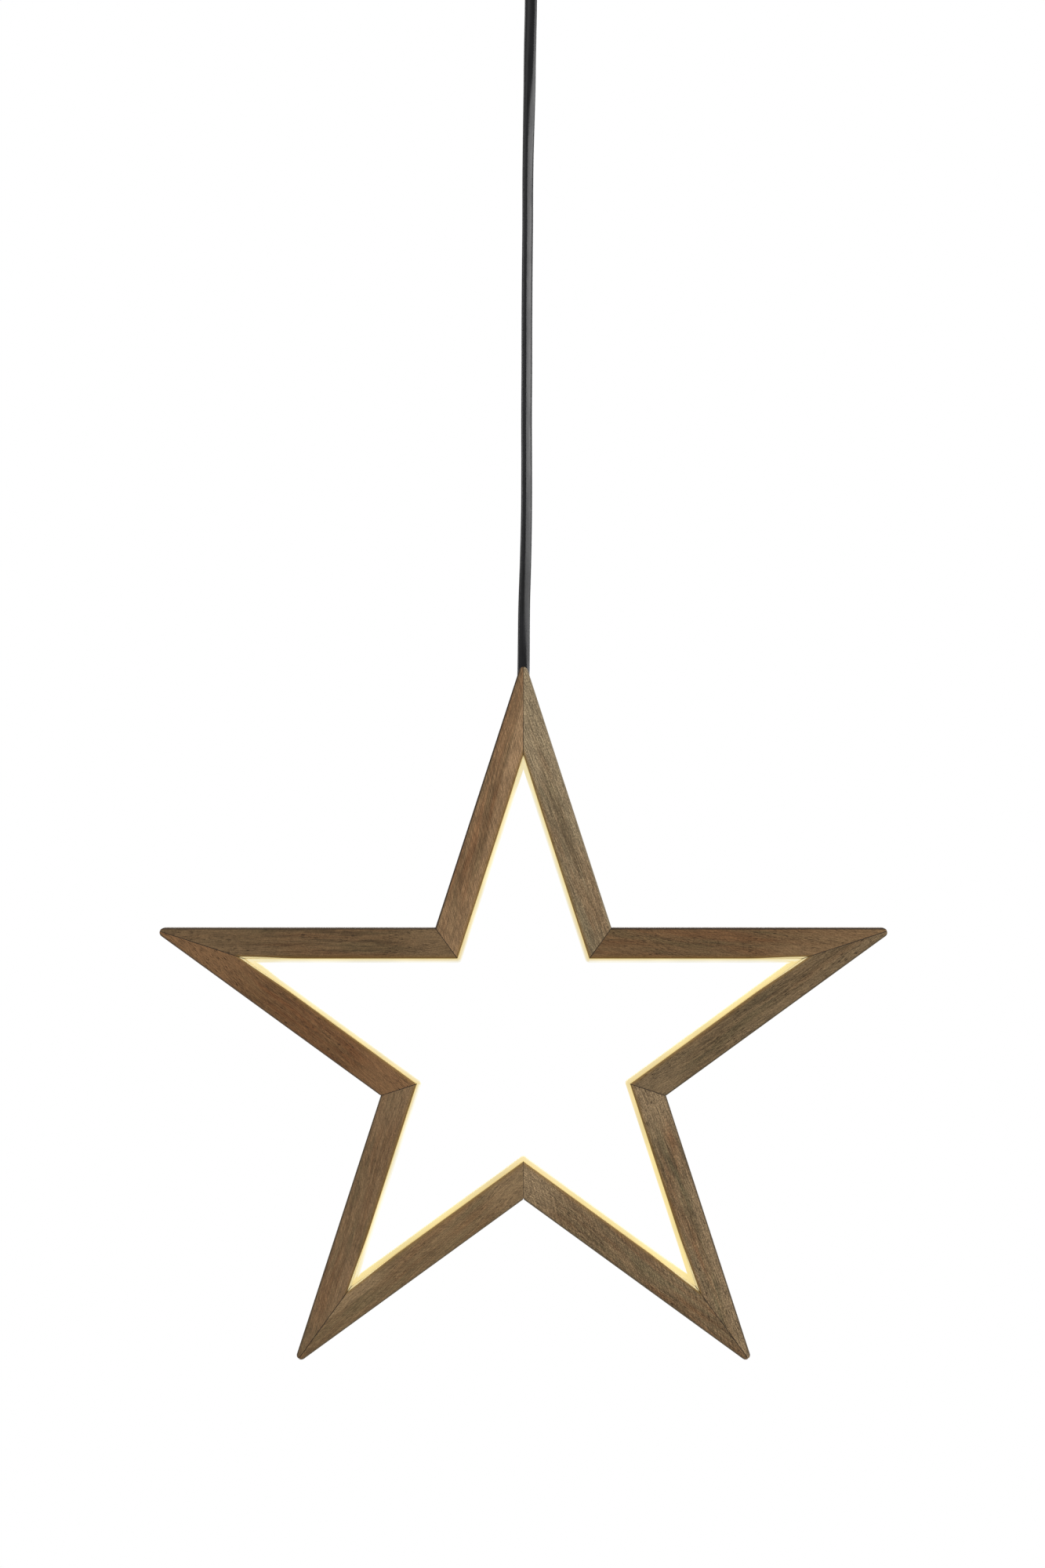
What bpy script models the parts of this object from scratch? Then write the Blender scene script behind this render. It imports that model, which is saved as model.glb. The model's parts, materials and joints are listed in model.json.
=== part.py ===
"""Lighted wooden star on a flat cord, with the ceiling cup that holds it.

Metres, +Z up. The star faces -Y and hangs below its ceiling plate. The origin is the centre of
the plate's upper face, which lies on the ceiling.
"""
import math

import bmesh
import bpy
import numpy as np
from mathutils import Matrix, Vector

MM = 0.001

# General clearances and mesh fineness
FIT = 0.3 * MM
STRIP_FIT = 0.15 * MM
OVERRUN = 2.0 * MM
WELD = 0.005 * MM
CUP_STEPS = 56
ROUND_STEPS = 32
SMALL_STEPS = 16
ARC_STEPS = 5
ROUTE_STEPS = 24
EDGE_STEPS = 2
FLAT_ANGLE = math.radians(1.0)
MITRE_ANGLE = math.radians(5.0)
SHARP_ANGLE = math.radians(40.0)

# Star of ten mitred bars
ARM_COUNT = 5
STAR_RADIUS = 215.2 * MM
BAR_WIDTH = 16.8 * MM
BAR_DEPTH = 16.0 * MM
MITRE_GAP = 0.3 * MM
TIP_ROUND = 2.5 * MM
EDGE_ROUND = 0.7 * MM
STAR_DROP = 625.0 * MM
STAR_SIDESTEP = 4.2 * MM
ARM_NAMES = (
    ("top", "left", "right"),
    ("left", "lower", "upper"),
    ("lower_left", "inner", "outer"),
    ("lower_right", "outer", "inner"),
    ("right", "upper", "lower"),
)

# V nails driven into the back across the mitres
NAIL_HALF_WIDTH = 2.8 * MM
NAIL_SHEET = 0.6 * MM
NAIL_HEIGHT = 7.0 * MM
NAIL_SINK = 0.2 * MM
TIP_NAIL_SHARES = (0.36, 0.68)
WAIST_NAIL_SHARE = 0.6

# Light strip on the inner faces
BOARD_WIDTH = 8.0 * MM
BOARD_SHEET = 0.3 * MM
CHIP_LENGTH = 3.5 * MM
CHIP_WIDTH = 2.8 * MM
CHIP_HEIGHT = 0.7 * MM
CHIP_PITCH = 16.67 * MM
CHIP_START = 9.0 * MM
CHIP_END = 20.0 * MM
COVER_WIDTH = 10.0 * MM
COVER_ROOF = 1.0 * MM
COVER_ROUND = 0.6 * MM
SOLDER_NOTCH = 14.5 * MM
SOLDER_NOTCH_FRONT = 2.2 * MM
BOARD_END = 6.5 * MM

# Flat two-core cord
CORD_WIDTH = 6.8 * MM
CORD_THICKNESS = 4.2 * MM
CORD_SPACING = 15.0 * MM
TAIL_SPACING = 6.0 * MM
CORE_RADIUS = 1.1 * MM
CORE_SPREAD = 1.28 * MM
END_STEPS = 4
TURN_CLEARANCE = 3.0 * MM
CORD_ROUTE_SHARES = (
    # height from the star's tip to the cup, drift from the star's axis to the cup's, twist in degrees
    (0.00, 0.03, 14.0),
    (0.08, 0.10, 27.0),
    (0.15, 0.29, 35.0),
    (0.22, 0.41, 40.0),
    (0.29, 0.43, 43.0),
    (0.36, 0.42, 44.0),
    (0.43, 0.45, 44.0),
    (0.50, 0.46, 44.0),
    (0.57, 0.50, 44.0),
    (0.64, 0.56, 44.0),
    (0.71, 0.58, 42.0),
    (0.77, 0.66, 36.0),
    (0.84, 0.79, 21.0),
    (0.90, 0.86, 6.0),
    (0.96, 0.97, 1.0),
    (1.00, 1.00, 0.0),
)

# Groove, clamp and splices behind the top arm; heights are below the arm's sharp point
CLAMP_DROP = 30.2 * MM
CLAMP_HEIGHT = 8.0 * MM
CLAMP_LENGTH = 17.2 * MM
CLAMP_PLATE = 2.0 * MM
CLAMP_SCREW_SPREAD = 6.3 * MM
SHEATH_TAIL = 2.5 * MM
CORE_TAIL = 4.0 * MM
SPLICE_LENGTH = 8.0 * MM
SPLICE_RADIUS = 1.4 * MM
SPLICE_SPREAD = 1.6 * MM
GROOVE_FOOT = 3.0 * MM
LEAD_RADIUS = 0.65 * MM
LEAD_SPREAD = 0.85 * MM
LEAD_HOLE_RADIUS = 2.2 * MM
PAD_REACH = 12.0 * MM
PAD_RUN = 3.0 * MM
PAD_PLACES = (-0.9 * MM, 1.7 * MM)

# Screws
WOOD_SCREW_RADIUS = 1.1 * MM
WOOD_SCREW_HEAD = 2.3 * MM
WOOD_SCREW_LENGTH = 11.0 * MM
WOOD_SCREW_POINT = 2.5 * MM
CROSS_LENGTH = 2.4 * MM
CROSS_WIDTH = 0.6 * MM
CROSS_DEPTH = 0.9 * MM
M3_RADIUS = 1.5 * MM
M3_HEAD_RADIUS = 2.8 * MM
M3_HEAD_HEIGHT = 1.8 * MM
M3_HEAD_ROUND = 0.6 * MM
PLATE_SCREW_STOP = 0.3 * MM

# Ceiling plate and cup
PLATE_SHEET = 1.5 * MM
PLATE_INSET = 1.5 * MM
TAB_WIDTH = 10.0 * MM
TAB_HEIGHT = 11.0 * MM
TAB_INSET = 0.5 * MM
CEILING_SLOT_INSET = 12.0 * MM
CEILING_SLOT_WIDTH = 4.6 * MM
CEILING_SLOT_LENGTH = 10.0 * MM
SLOT_ROUND_SHARE = 0.98
SUPPLY_HOLE_RADIUS = 7.0 * MM
SUPPLY_HOLE_INSET = 11.4 * MM
SUPPLY_HOLE_ANGLE = math.radians(218.4)
CUP_HEIGHT = 30.0 * MM
CUP_WALL = 1.5 * MM
CUP_ROUND = 5.0 * MM
CUP_SCREW_DROP = 7.0 * MM
CUP_SCREW_REACH = 3.0 * MM

# Cord grip under the cup
GRIP_HEIGHT = 15.7 * MM
GRIP_CHAMFER = 1.0 * MM
GRIP_LIP = 0.6 * MM
STUD_RADIUS = 5.0 * MM
STUD_HEIGHT = 7.0 * MM
GRIP_FLARE_HEIGHT = 8.0 * MM
NUT_ACROSS_FLATS = 14.0 * MM
NUT_HEIGHT = 3.5 * MM
NUT_CHAMFER = 0.5 * MM
PINCH_RADIUS = 2.0 * MM
PINCH_HEAD_RADIUS = 2.9 * MM
PINCH_HEAD_HEIGHT = 2.0 * MM
PINCH_PLACE = 3.6 * MM
PINCH_SLOT = 0.7 * MM
SWING_LIMIT = math.radians(15.0)
NECK_STEPS = 6
SHEATH_HEAD = 2.0 * MM
CORE_RISE = 2.8 * MM

# Driver and terminal block on the plate
DRIVER_LENGTH = 46.0 * MM
DRIVER_WIDTH = 26.0 * MM
DRIVER_HEIGHT = 16.0 * MM
DRIVER_SET_BACK = 9.0 * MM
DRIVER_CLEARANCE = 1.6 * MM
DRIVER_ROUND = 1.5 * MM
LUG_LENGTH = 7.0 * MM
LUG_WIDTH = 9.0 * MM
LUG_SHEET = 2.0 * MM
PORT_SPREAD = 3.2 * MM
PORT_RUN = 4.5 * MM
PORT_LEVEL_SHARES = (0.62, 0.36)
TERMINAL_LENGTH = 18.0 * MM
TERMINAL_WIDTH = 20.0 * MM
TERMINAL_HEIGHT = 12.0 * MM
TERMINAL_SET_FORWARD = 14.0 * MM
TERMINAL_ROUND = 0.8 * MM
TERMINAL_POLE_SPREAD = 4.6 * MM
TERMINAL_SCREW_SPREAD = 5.5 * MM
TERMINAL_WELL_RADIUS = 2.3 * MM
TERMINAL_WELL_DEPTH = 4.0 * MM
TERMINAL_SCREW_RADIUS = 1.8 * MM
TERMINAL_SCREW_HEIGHT = 2.4 * MM
TERMINAL_SLOT = 0.6 * MM
TERMINAL_MOUTH = 2.0 * MM
MAINS_LEAD_RADIUS = 0.95 * MM
MAINS_ROUTE_SHARES = (
    # way points from the terminal block to the driver: across and front to back of the cup, down its height
    ((-0.10, -0.22, 0.36), (-0.40, -0.12, 0.36), (-0.66, 0.08, 0.36), (-0.70, 0.30, 0.36)),
    ((0.02, -0.22, 0.22), (-0.36, -0.12, 0.20), (-0.68, 0.04, 0.20), (-0.80, 0.36, 0.20)),
)
CORE_ROUTE_SHARES = (
    # way points from the cord's end to the driver, in the same shares
    ((0.16, 0.055, 0.48), (0.40, 0.09, 0.43), (0.62, 0.16, 0.38), (0.71, 0.32, 0.38)),
    ((0.05, 0.03, 0.37), (0.26, 0.07, 0.28), (0.58, 0.11, 0.24), (0.80, 0.34, 0.24)),
)

# Worked out from the sizes above
HALF_POINT = math.radians(18.0)
HALF_ARM_STEP = math.radians(36.0)
ARM_STEP = math.radians(72.0)
OUTER_LINE = STAR_RADIUS * math.sin(HALF_POINT)
INNER_LINE = OUTER_LINE - BAR_WIDTH
INNER_RADIUS = INNER_LINE / math.sin(HALF_POINT)
STAR_CENTRE = Vector((-STAR_SIDESTEP, 0, -STAR_DROP))
TIP_TOP = STAR_RADIUS - TIP_ROUND / math.sin(HALF_POINT) + TIP_ROUND
BACK = BAR_DEPTH / 2
CHANNEL_HEIGHT = 2 * STRIP_FIT + BOARD_SHEET + CHIP_HEIGHT
COVER_HEIGHT = CHANNEL_HEIGHT + COVER_ROOF
GROOVE_HALF = CORD_WIDTH / 2 + FIT
GROOVE_FLOOR = -CORD_THICKNESS / 2 - FIT
CLAMP_LEVEL = STAR_RADIUS - CLAMP_DROP
SHEATH_END = CLAMP_LEVEL - CLAMP_HEIGHT / 2 - SHEATH_TAIL
SPLICE_TOP = SHEATH_END - CORE_TAIL
SPLICE_FOOT = SPLICE_TOP - SPLICE_LENGTH
GROOVE_END = SPLICE_FOOT - GROOVE_FOOT
INNER_EDGE = INNER_RADIUS * math.cos(HALF_POINT) - INNER_LINE * math.tan(HALF_ARM_STEP)
CHIPS_PER_BAR = max(1, int((INNER_EDGE - CHIP_START - CHIP_END) / CHIP_PITCH) + 1)
DRIVER_PLACE = DRIVER_SET_BACK + DRIVER_WIDTH / 2
DRIVER_REACH = math.hypot(DRIVER_LENGTH / 2, DRIVER_SET_BACK + DRIVER_WIDTH)
TERMINAL_PLACE = -TERMINAL_SET_FORWARD - TERMINAL_WIDTH / 2
CUP_RADIUS = DRIVER_REACH + DRIVER_CLEARANCE + CUP_WALL
PLATE_RADIUS = CUP_RADIUS - CUP_WALL - PLATE_INSET
CEILING_SLOT_PLACE = PLATE_RADIUS - CEILING_SLOT_INSET
SUPPLY_HOLE_X = (PLATE_RADIUS - SUPPLY_HOLE_INSET) * math.cos(SUPPLY_HOLE_ANGLE)
SUPPLY_HOLE_Y = (PLATE_RADIUS - SUPPLY_HOLE_INSET) * math.sin(SUPPLY_HOLE_ANGLE)
CUP_FLOOR = -CUP_HEIGHT
GRIP_TOP = CUP_FLOOR - FIT
GRIP_FOOT = GRIP_TOP - GRIP_HEIGHT
BORE_RADIUS = CORD_WIDTH / 2 + FIT
SWING_CENTRE = GRIP_FOOT + GRIP_FLARE_HEIGHT
NECK_RADIUS = CORD_THICKNESS / 2
NECK_FIT = NECK_RADIUS + FIT
LEAN = GRIP_FLARE_HEIGHT * math.tan(SWING_LIMIT)
LEAN_ACROSS = LEAN / math.cos(SWING_LIMIT) + CORD_WIDTH / 2 / math.cos(SWING_LIMIT)
GRIP_MOUTH_RADIUS = math.hypot(LEAN_ACROSS, LEAN) + FIT
GRIP_RADIUS = GRIP_MOUTH_RADIUS + 2 * GRIP_LIP
STUD_TOP = CUP_FLOOR + CUP_WALL + STUD_HEIGHT
SHEATH_TOP = STUD_TOP + SHEATH_HEAD
TURN_LEVEL = STAR_CENTRE.z + TIP_TOP + TURN_CLEARANCE
UNDER_PLATE = -PLATE_SHEET - FIT

PARTS = "wooden_star"
CUTTERS = "cutters"
STAR_PIECES = (
    "bar_",
    "tip_nail_",
    "waist_nail_",
    "led_strip",
    "led_cover",
    "cord_clamp",
    "clamp_screw_",
    "cord_tail",
    "tail_core_",
    "splice_",
    "strip_lead_",
)


def clear_scene():
    for thing in list(bpy.data.objects):
        bpy.data.objects.remove(thing, do_unlink=True)


def make_collections():
    for name in (PARTS, CUTTERS):
        bpy.context.scene.collection.children.link(bpy.data.collections.new(name))


def make_material(name, colour, roughness, metallic=0.0):
    material = bpy.data.materials.new(name)
    material.use_nodes = True
    shader = material.node_tree.nodes["Principled BSDF"]
    shader.inputs["Base Color"].default_value = (*colour, 1.0)
    shader.inputs["Roughness"].default_value = roughness
    shader.inputs["Metallic"].default_value = metallic
    return material


def make_object(name, data, collection=PARTS):
    made = bpy.data.objects.new(name, data)
    bpy.data.collections[collection].objects.link(made)
    return made


def finish_part(part, material, smooth=False):
    """Gives a piece its material and, where it is round, smooth shading with sharp edges kept."""
    if smooth and part.modifiers:
        part = settle(part)
    copy = material.copy()
    copy.name = part.name
    part.data.materials.clear()
    part.data.materials.append(copy)
    if smooth:
        part.data.shade_smooth()
        part.data.set_sharp_from_angle(angle=SHARP_ANGLE)
    return part


def make_cutter(cutter):
    for holder in list(cutter.users_collection):
        holder.objects.unlink(cutter)
    bpy.data.collections[CUTTERS].objects.link(cutter)
    cutter.hide_render = True
    cutter.display_type = "WIRE"
    return cutter


def boolean(part, other, operation="DIFFERENCE"):
    modifier = part.modifiers.new(other.name, "BOOLEAN")
    modifier.operation = operation
    modifier.solver = "EXACT"
    modifier.object = other
    return modifier


def evaluated_mesh(thing):
    """A mesh of the object as its modifiers leave it, in world space, with loose caps welded."""
    bpy.context.view_layer.update()
    seen = thing.evaluated_get(bpy.context.evaluated_depsgraph_get())
    mesh = bpy.data.meshes.new_from_object(seen)
    mesh.transform(thing.matrix_world)
    work = bmesh.new()
    work.from_mesh(mesh)
    bmesh.ops.remove_doubles(work, verts=work.verts, dist=WELD)
    bmesh.ops.recalc_face_normals(work, faces=work.faces)
    work.to_mesh(mesh)
    work.free()
    return mesh


def settle(thing):
    """Replaces an object by the mesh that its curve or modifiers make, at the world's origin."""
    name = thing.name
    collection = thing.users_collection[0].name
    mesh = evaluated_mesh(thing)
    bpy.data.objects.remove(thing, do_unlink=True)
    mesh.name = name
    return make_object(name, mesh, collection)


def gather(name, members):
    """One cutter made of several separate ones."""
    work = bmesh.new()
    for member in members:
        mesh = evaluated_mesh(member)
        work.from_mesh(mesh)
        bpy.data.objects.remove(member, do_unlink=True)
        bpy.data.meshes.remove(mesh)
    joined = bpy.data.meshes.new(name)
    work.to_mesh(joined)
    work.free()
    return make_cutter(make_object(name, joined))


def box(name, low, high, edge_round=0, round_steps=EDGE_STEPS):
    """A box between two corners, with its edges rounded where asked."""
    low, high = Vector(low), Vector(high)
    size = high - low
    work = bmesh.new()
    bmesh.ops.create_cube(work, size=1.0)
    bmesh.ops.scale(work, vec=size, verts=work.verts)
    bmesh.ops.translate(work, vec=(low + high) / 2, verts=work.verts)
    mesh = bpy.data.meshes.new(name)
    work.to_mesh(mesh)
    work.free()
    made = make_object(name, mesh)
    if edge_round:
        bevel = made.modifiers.new("rounded edges", "BEVEL")
        bevel.width = edge_round
        bevel.segments = round_steps
    return made


def turned(name, profile, place=(0, 0, 0), direction=(0, 0, 1), steps=SMALL_STEPS, closed=False):
    """A turned solid: the profile's (radius, height) points run down its outer side, top to bottom."""
    work = bmesh.new()
    points = [work.verts.new((radius, 0, height)) for radius, height in profile]
    for start, end in zip(points, points[1:]):
        work.edges.new((start, end))
    if closed:
        work.edges.new((points[-1], points[0]))
    mesh = bpy.data.meshes.new(name)
    work.to_mesh(mesh)
    work.free()
    made = make_object(name, mesh)
    screw = made.modifiers.new("turned", "SCREW")
    screw.axis = "Z"
    screw.steps = steps
    screw.render_steps = steps
    screw.use_merge_vertices = True
    screw.merge_threshold = WELD
    made.rotation_euler = Vector(direction).to_track_quat("Z", "Y").to_euler()
    made.location = place
    return made


def plate_outline(name, loops, thickness, middle=0):
    """A flat solid across Y from (x, z) loops; a loop inside another is a hole."""
    curve = bpy.data.curves.new(name, "CURVE")
    curve.dimensions = "2D"
    curve.fill_mode = "BOTH"
    curve.extrude = thickness / 2
    for loop in loops:
        spline = curve.splines.new("POLY")
        spline.points.add(len(loop) - 1)
        spline.use_cyclic_u = True
        for point, (x, z) in zip(spline.points, loop):
            point.co = (x, z, 0, 1)
    made = make_object(name, curve)
    made.rotation_euler = (math.pi / 2, 0, 0)
    made.location = (0, middle, 0)
    return settle(made)


def smooth_route(route, spacing):
    """Evenly spaced points on a smooth curve through the route; values after x, y, z go along."""
    route = [np.array(point, float) for point in route]
    ends = [2 * route[0] - route[1]] + route + [2 * route[-1] - route[-2]]
    fine = []
    for before, start, end, after in zip(ends, ends[1:], ends[2:], ends[3:]):
        for step in range(ROUTE_STEPS):
            t = step / ROUTE_STEPS
            slope = (end - before) / 2
            bend = before - 2.5 * start + 2 * end - after / 2
            twist = 1.5 * (start - end) + (after - before) / 2
            fine.append(start + slope * t + bend * t**2 + twist * t**3)
    fine.append(route[-1])
    fine = np.array(fine)
    along = np.concatenate([[0], np.cumsum(np.linalg.norm(np.diff(fine[:, :3], axis=0), axis=1))])
    count = max(2, round(along[-1] / spacing) + 1)
    even = np.linspace(0, along[-1], count)
    return np.array([[np.interp(s, along, column) for column in fine.T] for s in even])


def wire(name, route, radius, material):
    """A round insulated wire along a smooth route."""
    curve = bpy.data.curves.new(name, "CURVE")
    curve.dimensions = "3D"
    curve.bevel_depth = radius
    curve.bevel_resolution = 2
    curve.use_fill_caps = True
    points = smooth_route(route, 2 * radius)
    spline = curve.splines.new("POLY")
    spline.points.add(len(points) - 1)
    for point, place in zip(spline.points, points):
        point.co = (*place[:3], 1)
    return finish_part(settle(make_object(name, curve)), material, smooth=True)


def flat_section():
    """The cord's cross-section: two straight sides and two round ends."""
    curve = bpy.data.curves.new("cord_section", "CURVE")
    curve.dimensions = "2D"
    curve.fill_mode = "NONE"
    end = CORD_THICKNESS / 2
    reach = CORD_WIDTH / 2 - end
    spline = curve.splines.new("POLY")
    spline.points.add(2 * END_STEPS + 1)
    spline.use_cyclic_u = True
    corners = []
    for side, start in ((1, -math.pi / 2), (-1, math.pi / 2)):
        for step in range(END_STEPS + 1):
            angle = start + math.pi * step / END_STEPS
            corners.append((side * reach + end * math.cos(angle), end * math.sin(angle)))
    for point, (x, y) in zip(spline.points, corners):
        point.co = (x, y, 0, 1)
    return make_cutter(make_object("cord_section", curve))


def flat_cord(name, route, section, material, spacing=CORD_SPACING):
    """A stretch of the flat cord; each route point is x, y, z and the twist of its broad side.

    The curve is drawn lying along its own X and then stood up, so that its sides keep a fixed zero.
    """
    upright = Matrix(((0, -1, 0), (0, 0, -1), (1, 0, 0)))
    curve = bpy.data.curves.new(name, "CURVE")
    curve.dimensions = "3D"
    curve.twist_mode = "Z_UP"
    curve.bevel_mode = "OBJECT"
    curve.bevel_object = section
    curve.use_fill_caps = True
    points = smooth_route(route, spacing)
    spline = curve.splines.new("POLY")
    spline.points.add(len(points) - 1)
    for point, (x, y, z, twist) in zip(spline.points, points):
        point.co = (z, -x, -y, 1)
        point.tilt = math.radians(twist)
    cord = make_object(name, curve)
    cord.rotation_euler = upright.to_euler()
    return finish_part(settle(cord), material, smooth=True)


def on_arm(angle, along, across):
    """The (x, z) of a place on an arm: along its axis and across it, from the star's centre."""
    x = STAR_CENTRE.x + along * math.cos(angle) - across * math.sin(angle)
    z = STAR_CENTRE.z + along * math.sin(angle) + across * math.cos(angle)
    return x, z


def waist_corner(line):
    """Where a bar's long line, that far from the star's centre, meets the mitre at the waist."""
    back = MITRE_GAP / 2
    along = (line * math.cos(HALF_ARM_STEP) + back * math.sin(ARM_STEP)) / math.cos(HALF_ARM_STEP)
    across = (line * math.sin(HALF_ARM_STEP) - back * math.cos(ARM_STEP)) / math.cos(HALF_ARM_STEP)
    return along, across


def bar_outline():
    """One bar in its arm's own axes: the round of the tip, the outer line and the inner line."""
    half_gap = MITRE_GAP / 2
    round_centre = STAR_RADIUS - TIP_ROUND / math.sin(HALF_POINT)
    first = math.asin(half_gap / TIP_ROUND)
    outline = [(INNER_RADIUS - half_gap / math.tan(HALF_POINT), half_gap)]
    for step in range(ARC_STEPS + 1):
        angle = first + (ARM_STEP - first) * step / ARC_STEPS
        along = round_centre + TIP_ROUND * math.cos(angle)
        outline.append((along, TIP_ROUND * math.sin(angle)))
    outline.append(waist_corner(OUTER_LINE))
    outline.append(waist_corner(INNER_LINE))
    return outline


def round_long_edges(bar, angle, side):
    """Rounds the front and back edges of a bar, except those along its two mitres."""
    mitres = []
    for turn in (-math.pi / 2, HALF_ARM_STEP + math.pi / 2):
        heading = angle + side * turn
        mitres.append(Vector((math.cos(heading), 0, math.sin(heading))))
    work = bmesh.new()
    work.from_mesh(bar.data)
    bmesh.ops.dissolve_limit(work, angle_limit=FLAT_ANGLE, verts=work.verts, edges=work.edges)
    work.normal_update()
    chosen = []
    for edge in work.edges:
        sides = [face for face in edge.link_faces if abs(face.normal.y) < math.sin(FLAT_ANGLE)]
        if len(sides) != 1:
            continue
        normal = sides[0].normal
        if all(normal.angle(mitre) > MITRE_ANGLE for mitre in mitres):
            chosen.append(edge)
    bmesh.ops.bevel(
        work,
        geom=chosen,
        offset=EDGE_ROUND,
        offset_type="OFFSET",
        segments=EDGE_STEPS,
        profile=0.5,
        affect="EDGES",
    )
    work.to_mesh(bar.data)
    work.free()


def make_bar(arm, side, name, material):
    angle = math.pi / 2 + ARM_STEP * arm
    outline = [on_arm(angle, along, side * across) for along, across in bar_outline()]
    bar = plate_outline(name, [outline], BAR_DEPTH)
    round_long_edges(bar, angle, side)
    return finish_part(bar, material)


def nail_outline(angle, along, grow):
    """A V nail seen from the back, its point outwards; grow widens it into its slot."""
    lead = grow * math.sqrt(2.0)
    half = NAIL_HALF_WIDTH + grow
    sheet = NAIL_SHEET * math.sqrt(2.0) + 2 * lead
    shape = [
        (lead, 0),
        (lead - half, half),
        (lead - half - sheet, half),
        (lead - sheet, 0),
        (lead - half - sheet, -half),
        (lead - half, -half),
    ]
    return [on_arm(angle, along + step, across) for step, across in shape]


def nail_places():
    """Name, angle and distance from the star's centre of each V nail; the top mitre holds the cord."""
    waist_in = INNER_LINE / math.cos(HALF_ARM_STEP)
    waist_out = OUTER_LINE / math.cos(HALF_ARM_STEP)
    places = []
    for arm in range(ARM_COUNT):
        angle = math.pi / 2 + ARM_STEP * arm
        arm_name = ARM_NAMES[arm][0]
        if arm:
            for side_name, share in zip(("inner", "outer"), TIP_NAIL_SHARES):
                along = INNER_RADIUS + share * (STAR_RADIUS - INNER_RADIUS)
                places.append((f"tip_nail_{arm_name}_{side_name}", angle, along))
        along = waist_in + WAIST_NAIL_SHARE * (waist_out - waist_in)
        places.append((f"waist_nail_{arm_name}", angle + HALF_ARM_STEP, along))
    return places


def make_nails(material):
    slots = []
    nail_middle = BACK - NAIL_SINK - NAIL_HEIGHT / 2
    slot_height = NAIL_HEIGHT + NAIL_SINK + STRIP_FIT + OVERRUN
    slot_middle = BACK + OVERRUN - slot_height / 2
    for name, angle, along in nail_places():
        shape = nail_outline(angle, along, 0)
        finish_part(plate_outline(name, [shape], NAIL_HEIGHT, nail_middle), material)
        shape = nail_outline(angle, along, STRIP_FIT)
        slots.append(plate_outline(f"{name}_slot", [shape], slot_height, slot_middle))
    return gather("nail_slots", slots)


def window_loop(offset):
    """The edge of the star's window, moved inwards from the wood; its waists turn round the corners."""
    loop = []
    corner = INNER_LINE / math.cos(HALF_ARM_STEP)
    for arm in range(ARM_COUNT):
        angle = math.pi / 2 + ARM_STEP * arm
        loop.append(on_arm(angle, INNER_RADIUS - offset / math.sin(HALF_POINT), 0))
        waist = angle + HALF_ARM_STEP
        if offset <= 0:
            loop.append(on_arm(waist, corner - offset / math.cos(HALF_ARM_STEP), 0))
            continue
        for step in range(ARC_STEPS + 1):
            turn = math.pi + HALF_ARM_STEP - ARM_STEP * step / ARC_STEPS
            along = corner + offset * math.cos(turn)
            loop.append(on_arm(waist, along, offset * math.sin(turn)))
    return loop


def make_strip(material):
    """The flexible light strip: its board, and the chips along each of the ten inner faces."""
    inner = STRIP_FIT
    loops = [window_loop(inner), window_loop(inner + BOARD_SHEET)]
    board = plate_outline("led_strip", loops, BOARD_WIDTH)
    top = STAR_CENTRE.z + INNER_RADIUS
    half = BOARD_END
    low = (STAR_CENTRE.x - half, -BOARD_WIDTH, top - BOARD_END)
    high = (STAR_CENTRE.x + half, BOARD_WIDTH, top + OVERRUN)
    boolean(board, make_cutter(box("board_end_cut", low, high)))
    work = bmesh.new()
    rise = STRIP_FIT + (BOARD_SHEET + CHIP_HEIGHT) / 2 + BOARD_SHEET / 4
    size = Matrix.Diagonal((CHIP_LENGTH, CHIP_WIDTH, CHIP_HEIGHT + BOARD_SHEET / 2, 1.0))
    for arm in range(ARM_COUNT):
        angle = math.pi / 2 + ARM_STEP * arm
        for side in (-1, 1):
            for number in range(CHIPS_PER_BAR):
                run = CHIP_START + number * CHIP_PITCH
                along = INNER_LINE + run * math.cos(HALF_POINT) - rise * math.cos(ARM_STEP)
                across = INNER_LINE * math.tan(HALF_ARM_STEP)
                across -= run * math.sin(HALF_POINT) + rise * math.sin(ARM_STEP)
                x, z = on_arm(angle, along, side * across)
                heading = angle - side * HALF_POINT
                turn = Matrix.Rotation(-heading, 4, "Y")
                place = Matrix.Translation((x, 0, z)) @ turn @ size
                bmesh.ops.create_cube(work, size=1.0, matrix=place)
    mesh = bpy.data.meshes.new("led_chips")
    work.to_mesh(mesh)
    work.free()
    boolean(board, make_cutter(make_object("led_chips", mesh)), "UNION")
    finish_part(board, material)


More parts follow.
